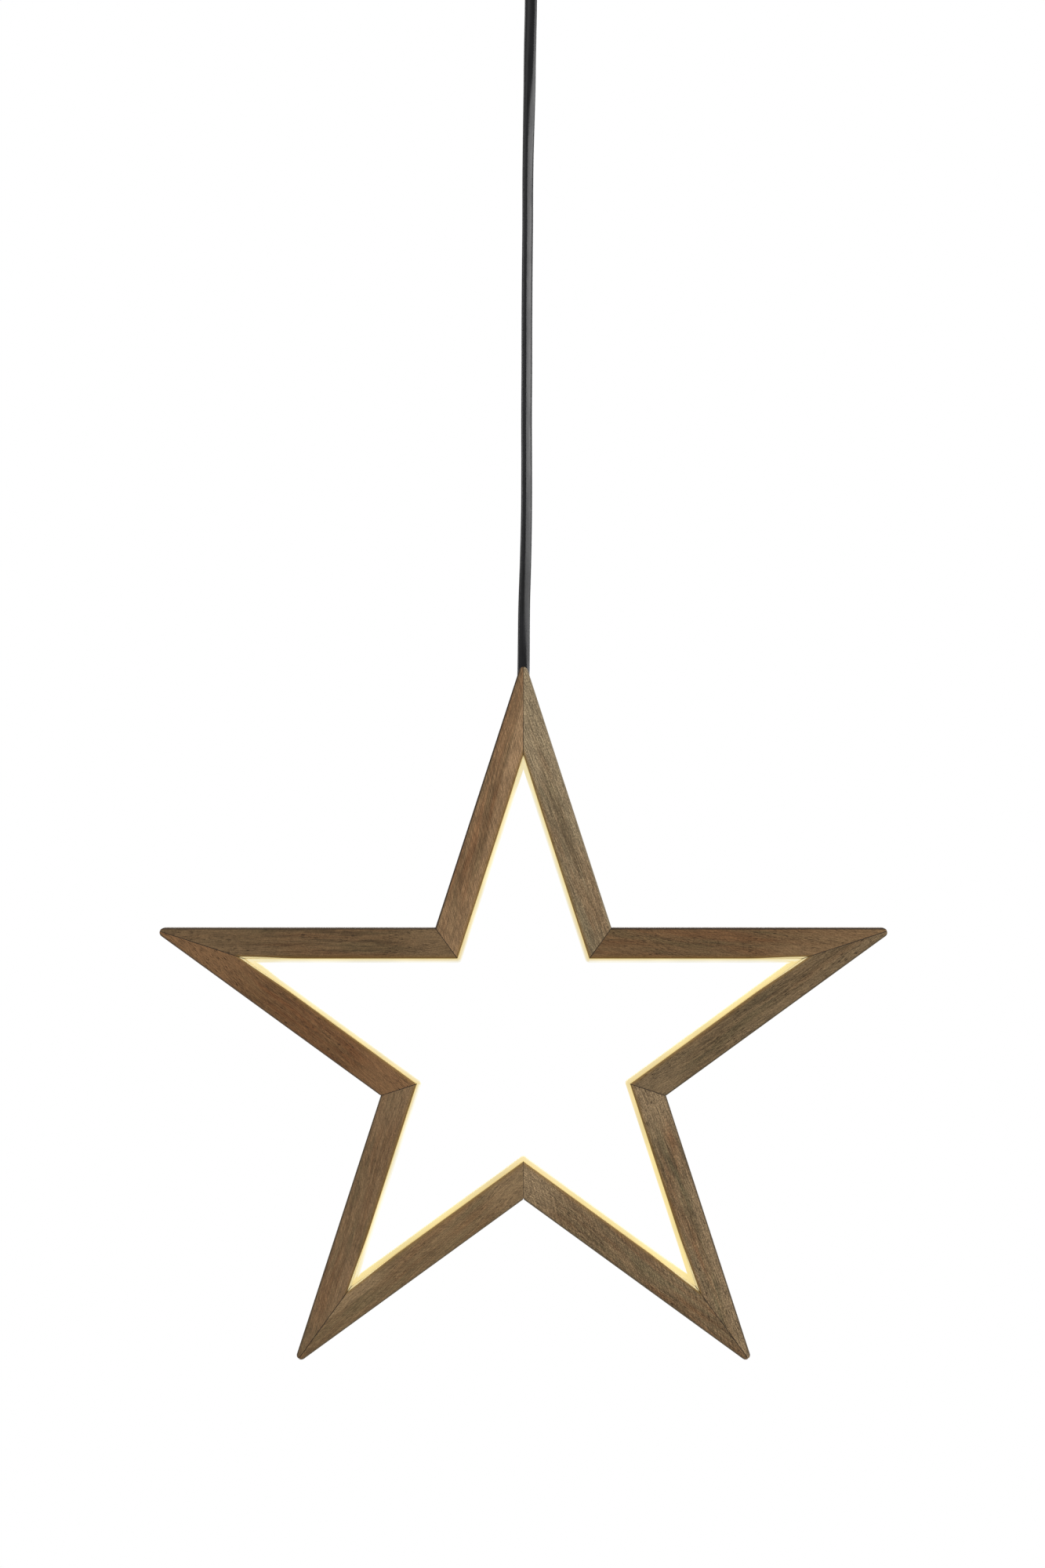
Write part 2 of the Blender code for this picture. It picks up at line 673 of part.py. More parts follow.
def make_cover(material):
    """The soft cover over the strip: a channel that is open towards the wood."""
    loops = [window_loop(STRIP_FIT), window_loop(COVER_HEIGHT)]
    cover = plate_outline("led_cover", loops, COVER_WIDTH)
    work = bmesh.new()
    work.from_mesh(cover.data)
    bmesh.ops.dissolve_limit(work, angle_limit=FLAT_ANGLE, verts=work.verts, edges=work.edges)
    work.normal_update()
    chosen = []
    for edge in work.edges:
        sides = [face for face in edge.link_faces if abs(face.normal.y) < math.sin(FLAT_ANGLE)]
        if len(sides) != 1:
            continue
        middle = sides[0].calc_center_median()
        reach = Vector((middle.x - STAR_CENTRE.x, 0, middle.z - STAR_CENTRE.z))
        if sides[0].normal.dot(reach) < 0:
            chosen.append(edge)
    bmesh.ops.bevel(
        work,
        geom=chosen,
        offset=COVER_ROUND,
        offset_type="OFFSET",
        segments=EDGE_STEPS,
        profile=0.5,
        affect="EDGES",
    )
    work.to_mesh(cover.data)
    work.free()
    loops = [window_loop(-OVERRUN), window_loop(CHANNEL_HEIGHT)]
    channel = plate_outline("cover_channel", loops, BOARD_WIDTH + 2 * STRIP_FIT)
    boolean(cover, make_cutter(channel))
    top = STAR_CENTRE.z + INNER_RADIUS
    half = SOLDER_NOTCH * math.tan(HALF_POINT)
    low = (STAR_CENTRE.x - half, -SOLDER_NOTCH_FRONT, top - SOLDER_NOTCH)
    high = (STAR_CENTRE.x + half, COVER_WIDTH, top + OVERRUN)
    boolean(cover, make_cutter(box("solder_notch", low, high)))
    finish_part(cover, material)


def wood_screw_profile(grow):
    """A countersunk wood screw from its head down; grow widens it into its hole."""
    head = WOOD_SCREW_HEAD + grow
    shank = WOOD_SCREW_RADIUS + grow
    foot = -WOOD_SCREW_LENGTH - grow
    top = OVERRUN if grow else 0
    rim = [(head, top)] if grow else []
    return [(0, top), *rim, (head, 0), (shank, shank - head), (shank, foot + WOOD_SCREW_POINT), (0, foot)]


def cross_cut(name, place):
    """Two crossed bars that cut a screw head's recess, seen along Y."""
    x, y, z = place
    long, short = CROSS_LENGTH / 2, CROSS_WIDTH / 2
    bars = []
    for number, (across, up) in enumerate(((long, short), (short, long))):
        low = (x - across, y - CROSS_DEPTH, z - up)
        high = (x + across, y + OVERRUN, z + up)
        bars.append(box(f"{name}_{number}", low, high))
    for bar in bars:
        make_cutter(bar)
    return bars


def make_clamp(plastic, steel, top_bars):
    """The clamp bar that holds the cord in the groove behind the top arm, with its two screws."""
    x, level = STAR_CENTRE.x, STAR_CENTRE.z + CLAMP_LEVEL
    half, rise = CLAMP_LENGTH / 2, CLAMP_HEIGHT / 2
    plate = box("cord_clamp", (x - half, BACK - CLAMP_PLATE, level - rise), (x + half, BACK, level + rise))
    tongue_half = GROOVE_HALF - FIT
    tongue_foot = CORD_THICKNESS / 2 + FIT
    low = (x - tongue_half, tongue_foot, level - rise + FIT)
    high = (x + tongue_half, BACK - CLAMP_PLATE / 2, level + rise - FIT)
    boolean(plate, make_cutter(box("clamp_tongue", low, high)), "UNION")
    low = (x - half - FIT, BACK - CLAMP_PLATE - FIT, level - rise - FIT)
    high = (x + half + FIT, BACK + OVERRUN, level + rise + FIT)
    recess = make_cutter(box("clamp_recess", low, high))
    holes = []
    for side, name in ((-1, "left"), (1, "right")):
        place = (x + side * CLAMP_SCREW_SPREAD, BACK, level)
        screw = turned(f"clamp_screw_{name}", wood_screw_profile(0), place, (0, 1, 0))
        for bar in cross_cut(f"clamp_cross_{name}", place):
            boolean(screw, bar)
        finish_part(screw, steel, smooth=True)
        hole = turned(f"clamp_hole_{name}", wood_screw_profile(STRIP_FIT), place, (0, 1, 0))
        holes.append(make_cutter(settle(hole)))
    for piece in [plate, *top_bars]:
        for hole in holes:
            boolean(piece, hole)
    for bar in top_bars:
        boolean(bar, recess)
    finish_part(plate, plastic)


def cut_cord_way(top_bars):
    """The groove behind the top arm, and the hole from its end down to the light strip."""
    x, z = STAR_CENTRE.x, STAR_CENTRE.z
    low = (x - GROOVE_HALF, GROOVE_FLOOR, z + GROOVE_END)
    high = (x + GROOVE_HALF, BACK + OVERRUN, z + STAR_RADIUS)
    groove = make_cutter(box("cord_groove", low, high))
    top = GROOVE_END + OVERRUN
    foot = INNER_RADIUS - SOLDER_NOTCH
    profile = [(0, top), (LEAD_HOLE_RADIUS, top), (LEAD_HOLE_RADIUS, foot), (0, foot)]
    hole = make_cutter(settle(turned("lead_hole", profile, (x, 0, z))))
    for bar in top_bars:
        boolean(bar, groove)
        boolean(bar, hole)


def make_star_wiring(cores, leads, sleeve):
    """Cores, splices and strip leads between the cord's end and the solder pads."""
    x, z = STAR_CENTRE.x, STAR_CENTRE.z
    down = Vector((-math.sin(HALF_POINT), 0, -math.cos(HALF_POINT)))
    away = Vector((math.cos(HALF_POINT), 0, -math.sin(HALF_POINT)))
    apex = Vector((x, 0, z + INNER_RADIUS))
    rise = 2 * STRIP_FIT + BOARD_SHEET + LEAD_RADIUS
    names = (("brown", "red"), ("blue", "black"))
    for side, (core_name, lead_name), pad_place in zip((-1, 1), names, PAD_PLACES):
        route = [
            (x + side * CORE_SPREAD, 0, z + SHEATH_END - FIT),
            (x + side * CORE_SPREAD, 0, z + SHEATH_END - CORE_TAIL / 3),
            (x + side * SPLICE_SPREAD, 0, z + SPLICE_TOP + FIT),
        ]
        wire(f"tail_core_{core_name}", route, CORE_RADIUS, cores[core_name])
        top, foot = z + SPLICE_TOP, z + SPLICE_FOOT
        profile = [(0, top), (SPLICE_RADIUS, top), (SPLICE_RADIUS, foot), (0, foot)]
        place = (x + side * SPLICE_SPREAD, 0, 0)
        finish_part(turned(f"splice_{core_name}", profile, place), sleeve, smooth=True)
        pad = apex + PAD_REACH * down + rise * away
        over_pad = pad - PAD_RUN * down
        pad.y = over_pad.y = pad_place
        middle_y = pad_place / 2
        half_way = (z + GROOVE_END + over_pad.z) / 2
        route = [
            (x + side * SPLICE_SPREAD, 0, foot - FIT),
            (x + side * LEAD_SPREAD, 0, z + GROOVE_END),
            (x + side * LEAD_SPREAD / 2, middle_y, half_way),
            tuple(over_pad),
            tuple(pad),
        ]
        wire(f"strip_lead_{lead_name}", route, LEAD_RADIUS, leads[lead_name])


def make_cord(material):
    """The cord: held in the grip, its round neck where it bends, hanging free, held behind the arm."""
    section = flat_section()
    high = SWING_CENTRE - NECK_FIT
    route = []
    for height_share, drift_share, twist in CORD_ROUTE_SHARES:
        x = STAR_CENTRE.x * (1 - drift_share)
        z = TURN_LEVEL + FIT / 2 + height_share * (high - TURN_LEVEL - FIT / 2)
        route.append((x, 0, z, twist))
    flat_cord("hanging_cord", route, section, material)
    x = route[0][0]
    foot = STAR_CENTRE.z + SHEATH_END
    held = STAR_CENTRE.z + TIP_TOP - 2 * TIP_ROUND
    tail = [
        (STAR_CENTRE.x, 0, foot, 0.0),
        (STAR_CENTRE.x, 0, (foot + held) / 2, 0.0),
        (STAR_CENTRE.x, 0, held, 0.0),
        (x, 0, TURN_LEVEL - FIT / 2, route[0][3]),
    ]
    flat_cord("cord_tail", tail, section, material, TAIL_SPACING)
    head = [(0, 0, SWING_CENTRE + NECK_FIT, 0.0), (0, 0, SHEATH_TOP, 0.0)]
    flat_cord("cord_head", head, section, material)
    profile = []
    for step in range(NECK_STEPS + 1):
        angle = math.pi * (1 / 2 - step / NECK_STEPS)
        profile.append((NECK_RADIUS * math.cos(angle), NECK_RADIUS * math.sin(angle)))
    profile[0], profile[-1] = (0, NECK_RADIUS), (0, -NECK_RADIUS)
    finish_part(turned("cord_neck", profile, (0, 0, SWING_CENTRE)), material, smooth=True)


def make_plate(material):
    """The steel plate on the ceiling, with its slots, supply hole and two tabs for the cup."""
    profile = [(0, 0), (PLATE_RADIUS, 0), (PLATE_RADIUS, -PLATE_SHEET), (0, -PLATE_SHEET)]
    plate = turned("ceiling_plate", profile, steps=CUP_STEPS)
    thick = 2 * PLATE_SHEET
    for side in (-1, 1):
        out = side * (PLATE_RADIUS - TAB_INSET)
        inside = out - side * PLATE_SHEET
        low = (min(out, inside), -TAB_WIDTH / 2, -PLATE_SHEET - TAB_HEIGHT)
        high = (max(out, inside), TAB_WIDTH / 2, -PLATE_SHEET / 2)
        boolean(plate, make_cutter(box(f"plate_tab_{side}", low, high)), "UNION")
        half_length, half_width = CEILING_SLOT_LENGTH / 2, CEILING_SLOT_WIDTH / 2
        middle = side * CEILING_SLOT_PLACE
        low = (middle - half_length, -half_width, -thick)
        high = (middle + half_length, half_width, thick)
        slot = box(f"ceiling_slot_{side}", low, high)
        bevel = slot.modifiers.new("rounded ends", "BEVEL")
        bevel.width = half_width * SLOT_ROUND_SHARE
        bevel.segments = ARC_STEPS
        bevel.limit_method = "WEIGHT"
        weights = slot.data.attributes.new("bevel_weight_edge", "FLOAT", "EDGE")
        for edge, weight in zip(slot.data.edges, weights.data):
            start, end = (slot.data.vertices[i].co for i in edge.vertices)
            weight.value = 1.0 if abs(start.z - end.z) > PLATE_SHEET else 0.0
        boolean(plate, make_cutter(slot))
    profile = [(0, thick), (SUPPLY_HOLE_RADIUS, thick), (SUPPLY_HOLE_RADIUS, -thick), (0, -thick)]
    hole = turned("supply_hole", profile, (SUPPLY_HOLE_X, SUPPLY_HOLE_Y, 0), steps=ROUND_STEPS)
    boolean(plate, make_cutter(settle(hole)))
    for cutter in screw_holes():
        boolean(plate, cutter)
    return finish_part(plate, material, smooth=True)


def cup_screw_ends():
    """The side screws: the inner end and the underside of the head, measured from the axis."""
    inner = PLATE_RADIUS - TAB_INSET - PLATE_SHEET - CUP_SCREW_REACH
    return inner, CUP_RADIUS + FIT


def lug_places():
    reach = DRIVER_LENGTH / 2 + LUG_LENGTH / 2
    return [(-reach, DRIVER_PLACE), (reach, DRIVER_PLACE)]


def screw_holes():
    """Cutters for the side screws and for the screws that hold the driver and terminal block."""
    cutters = []
    radius = M3_RADIUS + STRIP_FIT
    inner, outer = cup_screw_ends()
    inner -= OVERRUN
    outer += OVERRUN
    for side in (-1, 1):
        place = (0, 0, -CUP_SCREW_DROP)
        profile = [(0, outer), (radius, outer), (radius, inner), (0, inner)]
        hole = turned(f"side_screw_hole_{side}", profile, place, (side, 0, 0))
        cutters.append(make_cutter(settle(hole)))
    top = OVERRUN
    foot = -CUP_HEIGHT
    profile = [(0, top), (radius, top), (radius, foot), (0, foot)]
    for number, (x, y) in enumerate([*lug_places(), (0, TERMINAL_PLACE)]):
        hole = turned(f"plate_screw_hole_{number}", profile, (x, y, 0))
        cutters.append(make_cutter(settle(hole)))
    return cutters


def pan_screw_profile(head_radius, head_height, shank_radius, length):
    """A pan-head screw from the head's top down to the shank's end."""
    rim = min(M3_HEAD_ROUND, head_height / 2)
    return [
        (0, head_height),
        (head_radius - rim, head_height),
        (head_radius, head_height - rim),
        (head_radius, 0),
        (shank_radius, 0),
        (shank_radius, -length),
        (0, -length),
    ]


def slot_cut(name, place, direction, depth, width, length):
    """A bar that cuts a straight driving slot into a screw head."""
    cutter = box(name, (-length, -width / 2, -depth), (length, width / 2, OVERRUN))
    cutter.rotation_euler = Vector(direction).to_track_quat("Z", "Y").to_euler()
    cutter.location = place
    return make_cutter(settle(cutter))


def make_cup(material):
    """The round cup under the ceiling plate: an open-topped shell with a hole for the grip."""
    outer, height = CUP_RADIUS, CUP_HEIGHT
    inner_round = CUP_ROUND - CUP_WALL
    hole = STUD_RADIUS + FIT
    profile = [(outer - CUP_WALL, 0), (outer, 0)]
    for step in range(ARC_STEPS + 1):
        angle = -math.pi / 2 * step / ARC_STEPS
        x = outer - CUP_ROUND + CUP_ROUND * math.cos(angle)
        profile.append((x, -height + CUP_ROUND + CUP_ROUND * math.sin(angle)))
    profile += [(hole, -height), (hole, -height + CUP_WALL)]
    for step in range(ARC_STEPS + 1):
        angle = -math.pi / 2 * (1 - step / ARC_STEPS)
        x = outer - CUP_ROUND + inner_round * math.cos(angle)
        profile.append((x, -height + CUP_ROUND + inner_round * math.sin(angle)))
    cup = turned("ceiling_cup", profile, steps=CUP_STEPS, closed=True)
    for side in (-1, 1):
        cutter = bpy.data.objects[f"side_screw_hole_{side}"]
        boolean(cup, cutter)
    return finish_part(cup, material, smooth=True)


def make_cup_screws(material):
    inner, outer = cup_screw_ends()
    profile = pan_screw_profile(M3_HEAD_RADIUS, M3_HEAD_HEIGHT, M3_RADIUS, outer - inner)
    for side, name in ((-1, "left"), (1, "right")):
        place = (side * outer, 0, -CUP_SCREW_DROP)
        direction = (side, 0, 0)
        screw = turned(f"cup_screw_{name}", profile, place, direction)
        top = (side * (outer + M3_HEAD_HEIGHT), 0, -CUP_SCREW_DROP)
        cutter = slot_cut(f"cup_slot_{name}", top, direction, CROSS_DEPTH, CROSS_WIDTH, M3_HEAD_RADIUS)
        boolean(screw, cutter)
        finish_part(screw, material, smooth=True)


def make_grip(plastic, steel, nylon):
    """The cord grip: a hollow stud through the cup's floor and a flared mouth for the moving cord."""
    lip = GRIP_MOUTH_RADIUS + GRIP_LIP
    profile = [
        (BORE_RADIUS, STUD_TOP),
        (STUD_RADIUS, STUD_TOP),
        (STUD_RADIUS, GRIP_TOP),
        (GRIP_RADIUS - GRIP_CHAMFER, GRIP_TOP),
        (GRIP_RADIUS, GRIP_TOP - GRIP_CHAMFER),
        (GRIP_RADIUS, GRIP_FOOT + GRIP_CHAMFER / 2),
        (lip, GRIP_FOOT),
        (GRIP_MOUTH_RADIUS, GRIP_FOOT + GRIP_LIP / 2),
        (BORE_RADIUS, SWING_CENTRE),
    ]
    grip = turned("cord_grip", profile, steps=ROUND_STEPS, closed=True)
    level = GRIP_TOP - PINCH_PLACE
    inner = CORD_THICKNESS / 2 + FIT
    outer = GRIP_RADIUS + FIT
    radius = PINCH_RADIUS + STRIP_FIT
    end = GRIP_RADIUS + OVERRUN
    hole = turned("pinch_hole", [(0, end), (radius, end), (radius, 0), (0, 0)], (0, 0, level), (0, 1, 0))
    boolean(grip, make_cutter(settle(hole)))
    profile = pan_screw_profile(PINCH_HEAD_RADIUS, PINCH_HEAD_HEIGHT, PINCH_RADIUS, outer - inner)
    screw = turned("pinch_screw", profile, (0, outer, level), (0, 1, 0))
    top = (0, outer + PINCH_HEAD_HEIGHT, level)
    boolean(screw, slot_cut("pinch_slot", top, (0, 1, 0), CROSS_DEPTH, PINCH_SLOT, PINCH_HEAD_RADIUS))
    nut_foot = CUP_FLOOR + CUP_WALL + FIT
    corner = NUT_ACROSS_FLATS / 2 / math.cos(math.pi / 6)
    bore = STUD_RADIUS + FIT
    profile = [
        (bore, nut_foot + NUT_HEIGHT),
        (corner - NUT_CHAMFER, nut_foot + NUT_HEIGHT),
        (corner, nut_foot + NUT_HEIGHT - NUT_CHAMFER),
        (corner, nut_foot),
        (bore, nut_foot),
    ]
    nut = turned("grip_nut", profile, steps=6, closed=True)
    round_bore = [(0, CUP_HEIGHT), (bore, CUP_HEIGHT), (bore, -CUP_HEIGHT), (0, -CUP_HEIGHT)]
    boolean(nut, make_cutter(settle(turned("nut_bore", round_bore))))
    finish_part(grip, plastic, smooth=True)
    finish_part(screw, nylon, smooth=True)
    finish_part(nut, steel)


def make_driver(shell, steel):
    """The low-voltage driver under the plate, with a lug and a screw at each end."""
    half, foot = DRIVER_LENGTH / 2, UNDER_PLATE - DRIVER_HEIGHT
    front = DRIVER_PLACE - DRIVER_WIDTH / 2
    back = DRIVER_PLACE + DRIVER_WIDTH / 2
    driver = box("led_driver", (-half, front, foot), (half, back, UNDER_PLATE), DRIVER_ROUND)
    for side, (x, y) in zip((-1, 1), lug_places()):
        inner = side * (half - LUG_LENGTH / 2)
        outer = side * (half + LUG_LENGTH)
        low = (min(inner, outer), y - LUG_WIDTH / 2, UNDER_PLATE - LUG_SHEET)
        high = (max(inner, outer), y + LUG_WIDTH / 2, UNDER_PLATE)
        boolean(driver, make_cutter(box(f"driver_lug_{side}", low, high)), "UNION")
    under = UNDER_PLATE - LUG_SHEET - FIT
    profile = pan_screw_profile(M3_HEAD_RADIUS, M3_HEAD_HEIGHT, M3_RADIUS, -under - PLATE_SCREW_STOP)
    for number, (name, (x, y)) in enumerate(zip(("left", "right"), lug_places())):
        boolean(driver, bpy.data.objects[f"plate_screw_hole_{number}"])
        screw = turned(f"driver_screw_{name}", profile, (x, y, under), (0, 0, -1))
        finish_part(screw, steel, smooth=True)
    finish_part(driver, shell)


def make_terminal(shell, brass, steel):
    """The two-pole terminal block, its four clamping screws and the screw that fixes it."""
    half, foot = TERMINAL_LENGTH / 2, UNDER_PLATE - TERMINAL_HEIGHT
    front, back = TERMINAL_PLACE - TERMINAL_WIDTH / 2, TERMINAL_PLACE + TERMINAL_WIDTH / 2
    block = box("terminal_block", (-half, front, foot), (half, back, UNDER_PLATE), TERMINAL_ROUND, 1)
    level = UNDER_PLATE - PORT_LEVEL_SHARES[1] * DRIVER_HEIGHT
    for pole, pole_name in ((-1, "left"), (1, "right")):
        x = pole * TERMINAL_POLE_SPREAD
        for end, end_name in ((-1, "front"), (1, "back")):
            y = TERMINAL_PLACE + end * TERMINAL_SCREW_SPREAD
            corner = f"{pole_name}_{end_name}"
            top = foot + TERMINAL_WELL_DEPTH
            radius = TERMINAL_WELL_RADIUS
            profile = [(0, top), (radius, top), (radius, foot - OVERRUN), (0, foot - OVERRUN)]
            well = turned(f"terminal_well_{corner}", profile, (x, y, 0))
            boolean(block, make_cutter(settle(well)))
            high = top - FIT
            low = high - TERMINAL_SCREW_HEIGHT
            radius = TERMINAL_SCREW_RADIUS
            profile = [(0, high), (radius, high), (radius, low), (0, low)]
            clamp = turned(f"terminal_clamp_{corner}", profile, (x, y, 0))
            name = f"terminal_slot_{corner}"
            place = (x, y, low)
            length = TERMINAL_SCREW_RADIUS
            cutter = slot_cut(name, place, (0, 0, -1), CROSS_DEPTH, TERMINAL_SLOT, length)
            boolean(clamp, cutter)
            finish_part(clamp, brass, smooth=True)
            edge = TERMINAL_PLACE + end * TERMINAL_WIDTH / 2
            radius = MAINS_LEAD_RADIUS + FIT
            profile = [(0, OVERRUN), (radius, OVERRUN), (radius, -TERMINAL_MOUTH), (0, -TERMINAL_MOUTH)]
            mouth = turned(f"terminal_mouth_{corner}", profile, (x, edge, level), (0, end, 0))
            boolean(block, make_cutter(settle(mouth)))
    boolean(block, bpy.data.objects["plate_screw_hole_2"])
    finish_part(block, shell)
    under = foot - FIT
    profile = pan_screw_profile(M3_HEAD_RADIUS, M3_HEAD_HEIGHT, M3_RADIUS, -under - PLATE_SCREW_STOP)
    screw = turned("terminal_screw", profile, (0, TERMINAL_PLACE, under), (0, 0, -1))
    finish_part(screw, steel, smooth=True)


def cup_places(shares):
    """Way points inside the cup, from shares of its inner radius and of its height."""
    inside = CUP_RADIUS - CUP_WALL
    return [(inside * x, inside * y, -CUP_HEIGHT * z) for x, y, z in shares]


def make_cup_wiring(cores):
    """The mains leads on the left of the driver, and the cord's own cores on its right."""
    end = DRIVER_LENGTH / 2 + FIT
    terminal_edge = TERMINAL_PLACE + TERMINAL_WIDTH / 2 - TERMINAL_MOUTH + FIT
    terminal_level = UNDER_PLATE - PORT_LEVEL_SHARES[1] * DRIVER_HEIGHT
    ports = []
    for spread, level_share in zip((-1, 1), PORT_LEVEL_SHARES):
        ports.append((DRIVER_PLACE + spread * PORT_SPREAD, UNDER_PLATE - level_share * DRIVER_HEIGHT))
    for pole, name, shares, (y, z) in zip((-1, 1), ("brown", "blue"), MAINS_ROUTE_SHARES, ports):
        x = pole * TERMINAL_POLE_SPREAD
        route = [(x, terminal_edge, terminal_level), (x, terminal_edge + 2 * TERMINAL_MOUTH, terminal_level)]
        route += cup_places(shares)
        route += [(-end - PORT_RUN, y, z), (-end, y, z)]
        wire(f"mains_lead_{name}", route, MAINS_LEAD_RADIUS, cores[name])
    for side, name, shares, (y, z) in zip((1, -1), ("brown", "blue"), CORE_ROUTE_SHARES, ports):
        x = side * CORE_SPREAD
        route = [(x, 0, SHEATH_TOP + FIT), (x, 0, SHEATH_TOP + FIT + CORE_RISE)]
        route += cup_places(shares)
        route += [(end + PORT_RUN, y, z), (end, y, z)]
        wire(f"head_core_{name}", route, CORE_RADIUS, cores[name])


def make_pivots():
    """Empties on the three joints' axes, each carrying the pieces that move about it."""
    swing_front = make_object("swing_front_axis", None)
    swing_front.location = (0, 0, SWING_CENTRE)
    swing_side = make_object("swing_side_axis", None)
    swing_side.parent = swing_front
    turn = make_object("turn_axis", None)
    turn.parent = swing_side
    turn_x = STAR_CENTRE.x * (1 - CORD_ROUTE_SHARES[0][1])
    turn.location = (turn_x, 0, TURN_LEVEL - SWING_CENTRE)
    bpy.context.view_layer.update()
    for piece in bpy.data.collections[PARTS].objects:
        if piece.name == "cord_neck":
            pivot = swing_front
        elif piece.name == "hanging_cord":
            pivot = swing_side
        elif piece.name.startswith(STAR_PIECES):
            pivot = turn
        else:
            continue
        piece.parent = pivot
        piece.matrix_parent_inverse = pivot.matrix_world.inverted()


def main():
    clear_scene()
    make_collections()
    wood = make_material("stained_wood", (0.165, 0.105, 0.058), 0.62)
    black_pvc = make_material("black_pvc", (0.012, 0.012, 0.013), 0.42)
    black_plastic = make_material("black_plastic", (0.016, 0.016, 0.017), 0.5)
    black_paint = make_material("black_paint", (0.014, 0.014, 0.015), 0.45)
    white_plastic = make_material("white_plastic", (0.78, 0.78, 0.76), 0.5)
    opal = make_material("opal_silicone", (0.93, 0.83, 0.6), 0.5)
    board = make_material("white_board", (0.8, 0.8, 0.78), 0.45)
    steel = make_material("zinc_steel", (0.6, 0.61, 0.62), 0.35, 1.0)
    brass = make_material("brass", (0.72, 0.53, 0.25), 0.3, 1.0)
    nylon = make_material("black_nylon", (0.02, 0.02, 0.021), 0.55)
    cores = {
        "brown": make_material("brown_core", (0.12, 0.05, 0.025), 0.45),
        "blue": make_material("blue_core", (0.02, 0.09, 0.36), 0.45),
    }
    leads = {
        "red": make_material("red_lead", (0.5, 0.02, 0.02), 0.45),
        "black": make_material("black_lead", (0.015, 0.015, 0.015), 0.45),
    }
    slots = make_nails(steel)
    top_bars = []
    for arm, (arm_name, first, second) in enumerate(ARM_NAMES):
        for side, side_name in ((1, first), (-1, second)):
            bar = make_bar(arm, side, f"bar_{arm_name}_{side_name}", wood)
            boolean(bar, slots)
            if arm == 0:
                top_bars.append(bar)
    cut_cord_way(top_bars)
    make_clamp(black_plastic, steel, top_bars)
    make_strip(board)
    make_cover(opal)
    make_star_wiring(cores, leads, black_plastic)
    make_cord(black_pvc)
    make_plate(steel)
    make_cup(black_paint)
    make_cup_screws(steel)
    make_grip(black_plastic, steel, nylon)
    make_driver(white_plastic, steel)
    make_terminal(white_plastic, brass, steel)
    make_cup_wiring(cores)
    make_pivots()


main()
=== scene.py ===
"""The looks of the lighted wooden star: wood, glow, cord, ceiling fitting, studio and camera."""

import json
import math
from typing import NamedTuple

import bmesh
import bpy
import numpy as np
from mathutils import Matrix, Vector


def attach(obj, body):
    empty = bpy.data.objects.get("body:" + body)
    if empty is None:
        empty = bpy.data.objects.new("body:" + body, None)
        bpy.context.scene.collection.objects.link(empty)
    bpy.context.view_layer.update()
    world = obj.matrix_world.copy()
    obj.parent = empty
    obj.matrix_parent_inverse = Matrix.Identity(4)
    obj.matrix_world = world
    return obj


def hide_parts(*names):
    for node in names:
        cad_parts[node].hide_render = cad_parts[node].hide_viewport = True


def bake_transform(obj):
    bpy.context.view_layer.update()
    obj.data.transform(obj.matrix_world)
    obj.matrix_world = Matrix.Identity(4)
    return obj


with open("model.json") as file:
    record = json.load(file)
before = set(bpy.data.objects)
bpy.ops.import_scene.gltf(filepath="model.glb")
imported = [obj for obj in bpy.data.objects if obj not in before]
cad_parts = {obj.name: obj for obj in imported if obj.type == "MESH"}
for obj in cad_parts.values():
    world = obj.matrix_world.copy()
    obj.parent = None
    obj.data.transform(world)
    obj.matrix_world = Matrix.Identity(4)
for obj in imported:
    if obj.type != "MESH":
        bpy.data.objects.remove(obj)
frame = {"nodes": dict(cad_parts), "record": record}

MM = 0.001
# Edges stay sharp above these angles: on the model's own pieces, and on the cord and the cover
SHARP_ANGLE = math.radians(35.0)
CREASE_ANGLE = math.radians(50.0)
WELD = 0.002 * MM

# The star's layout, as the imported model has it
STAR_CENTRE = Vector((-4.2, 0, -625.0)) * MM
ARM_STEP = math.radians(72.0)
HALF_ARM_STEP = ARM_STEP / 2
HALF_POINT = math.radians(18.0)
INNER_LINE = 49.7 * MM
INNER_RADIUS = 160.83 * MM
OUTER_LINE = 66.5 * MM
STAR_TIP = 209.6 * MM
BAR_WIDTH = 16.8
ARMS = 5


class Bar(NamedTuple):
    """One bar, and the look of its wood and of the light beside it.

    Lengths are in millimetres, colours are as on screen, and shares go from 0 up.
    """

    name: str
    arm: int  # from the top one, against the clock
    side: int  # 1 for the side of the arm's axis towards the next arm, else -1
    glow: float  # how far the warm glow shows from the wood
    tone: tuple
    edge: tuple  # the painted shade and painted reflection on the front outer edge: dark on some bars, grey on others
    streaks: float  # the shares of streaks, ruddy patches, pores, slanting marks and fine grit
    ruddy: float
    porous: float
    marked: float
    gritty: float
    slope: float  # how far the grain runs aslant
    slant: float  # the marks' angle, in degrees
    wander: float  # how far the grain strays
    lean: float  # how far the paler side's edge leans
    pale: tuple  # shares of paler wood: inner side, outer side, tip, waist and window's point
    mitres: tuple = (0.5, 0.5)  # how dark the mitres at the tip and at the waist are


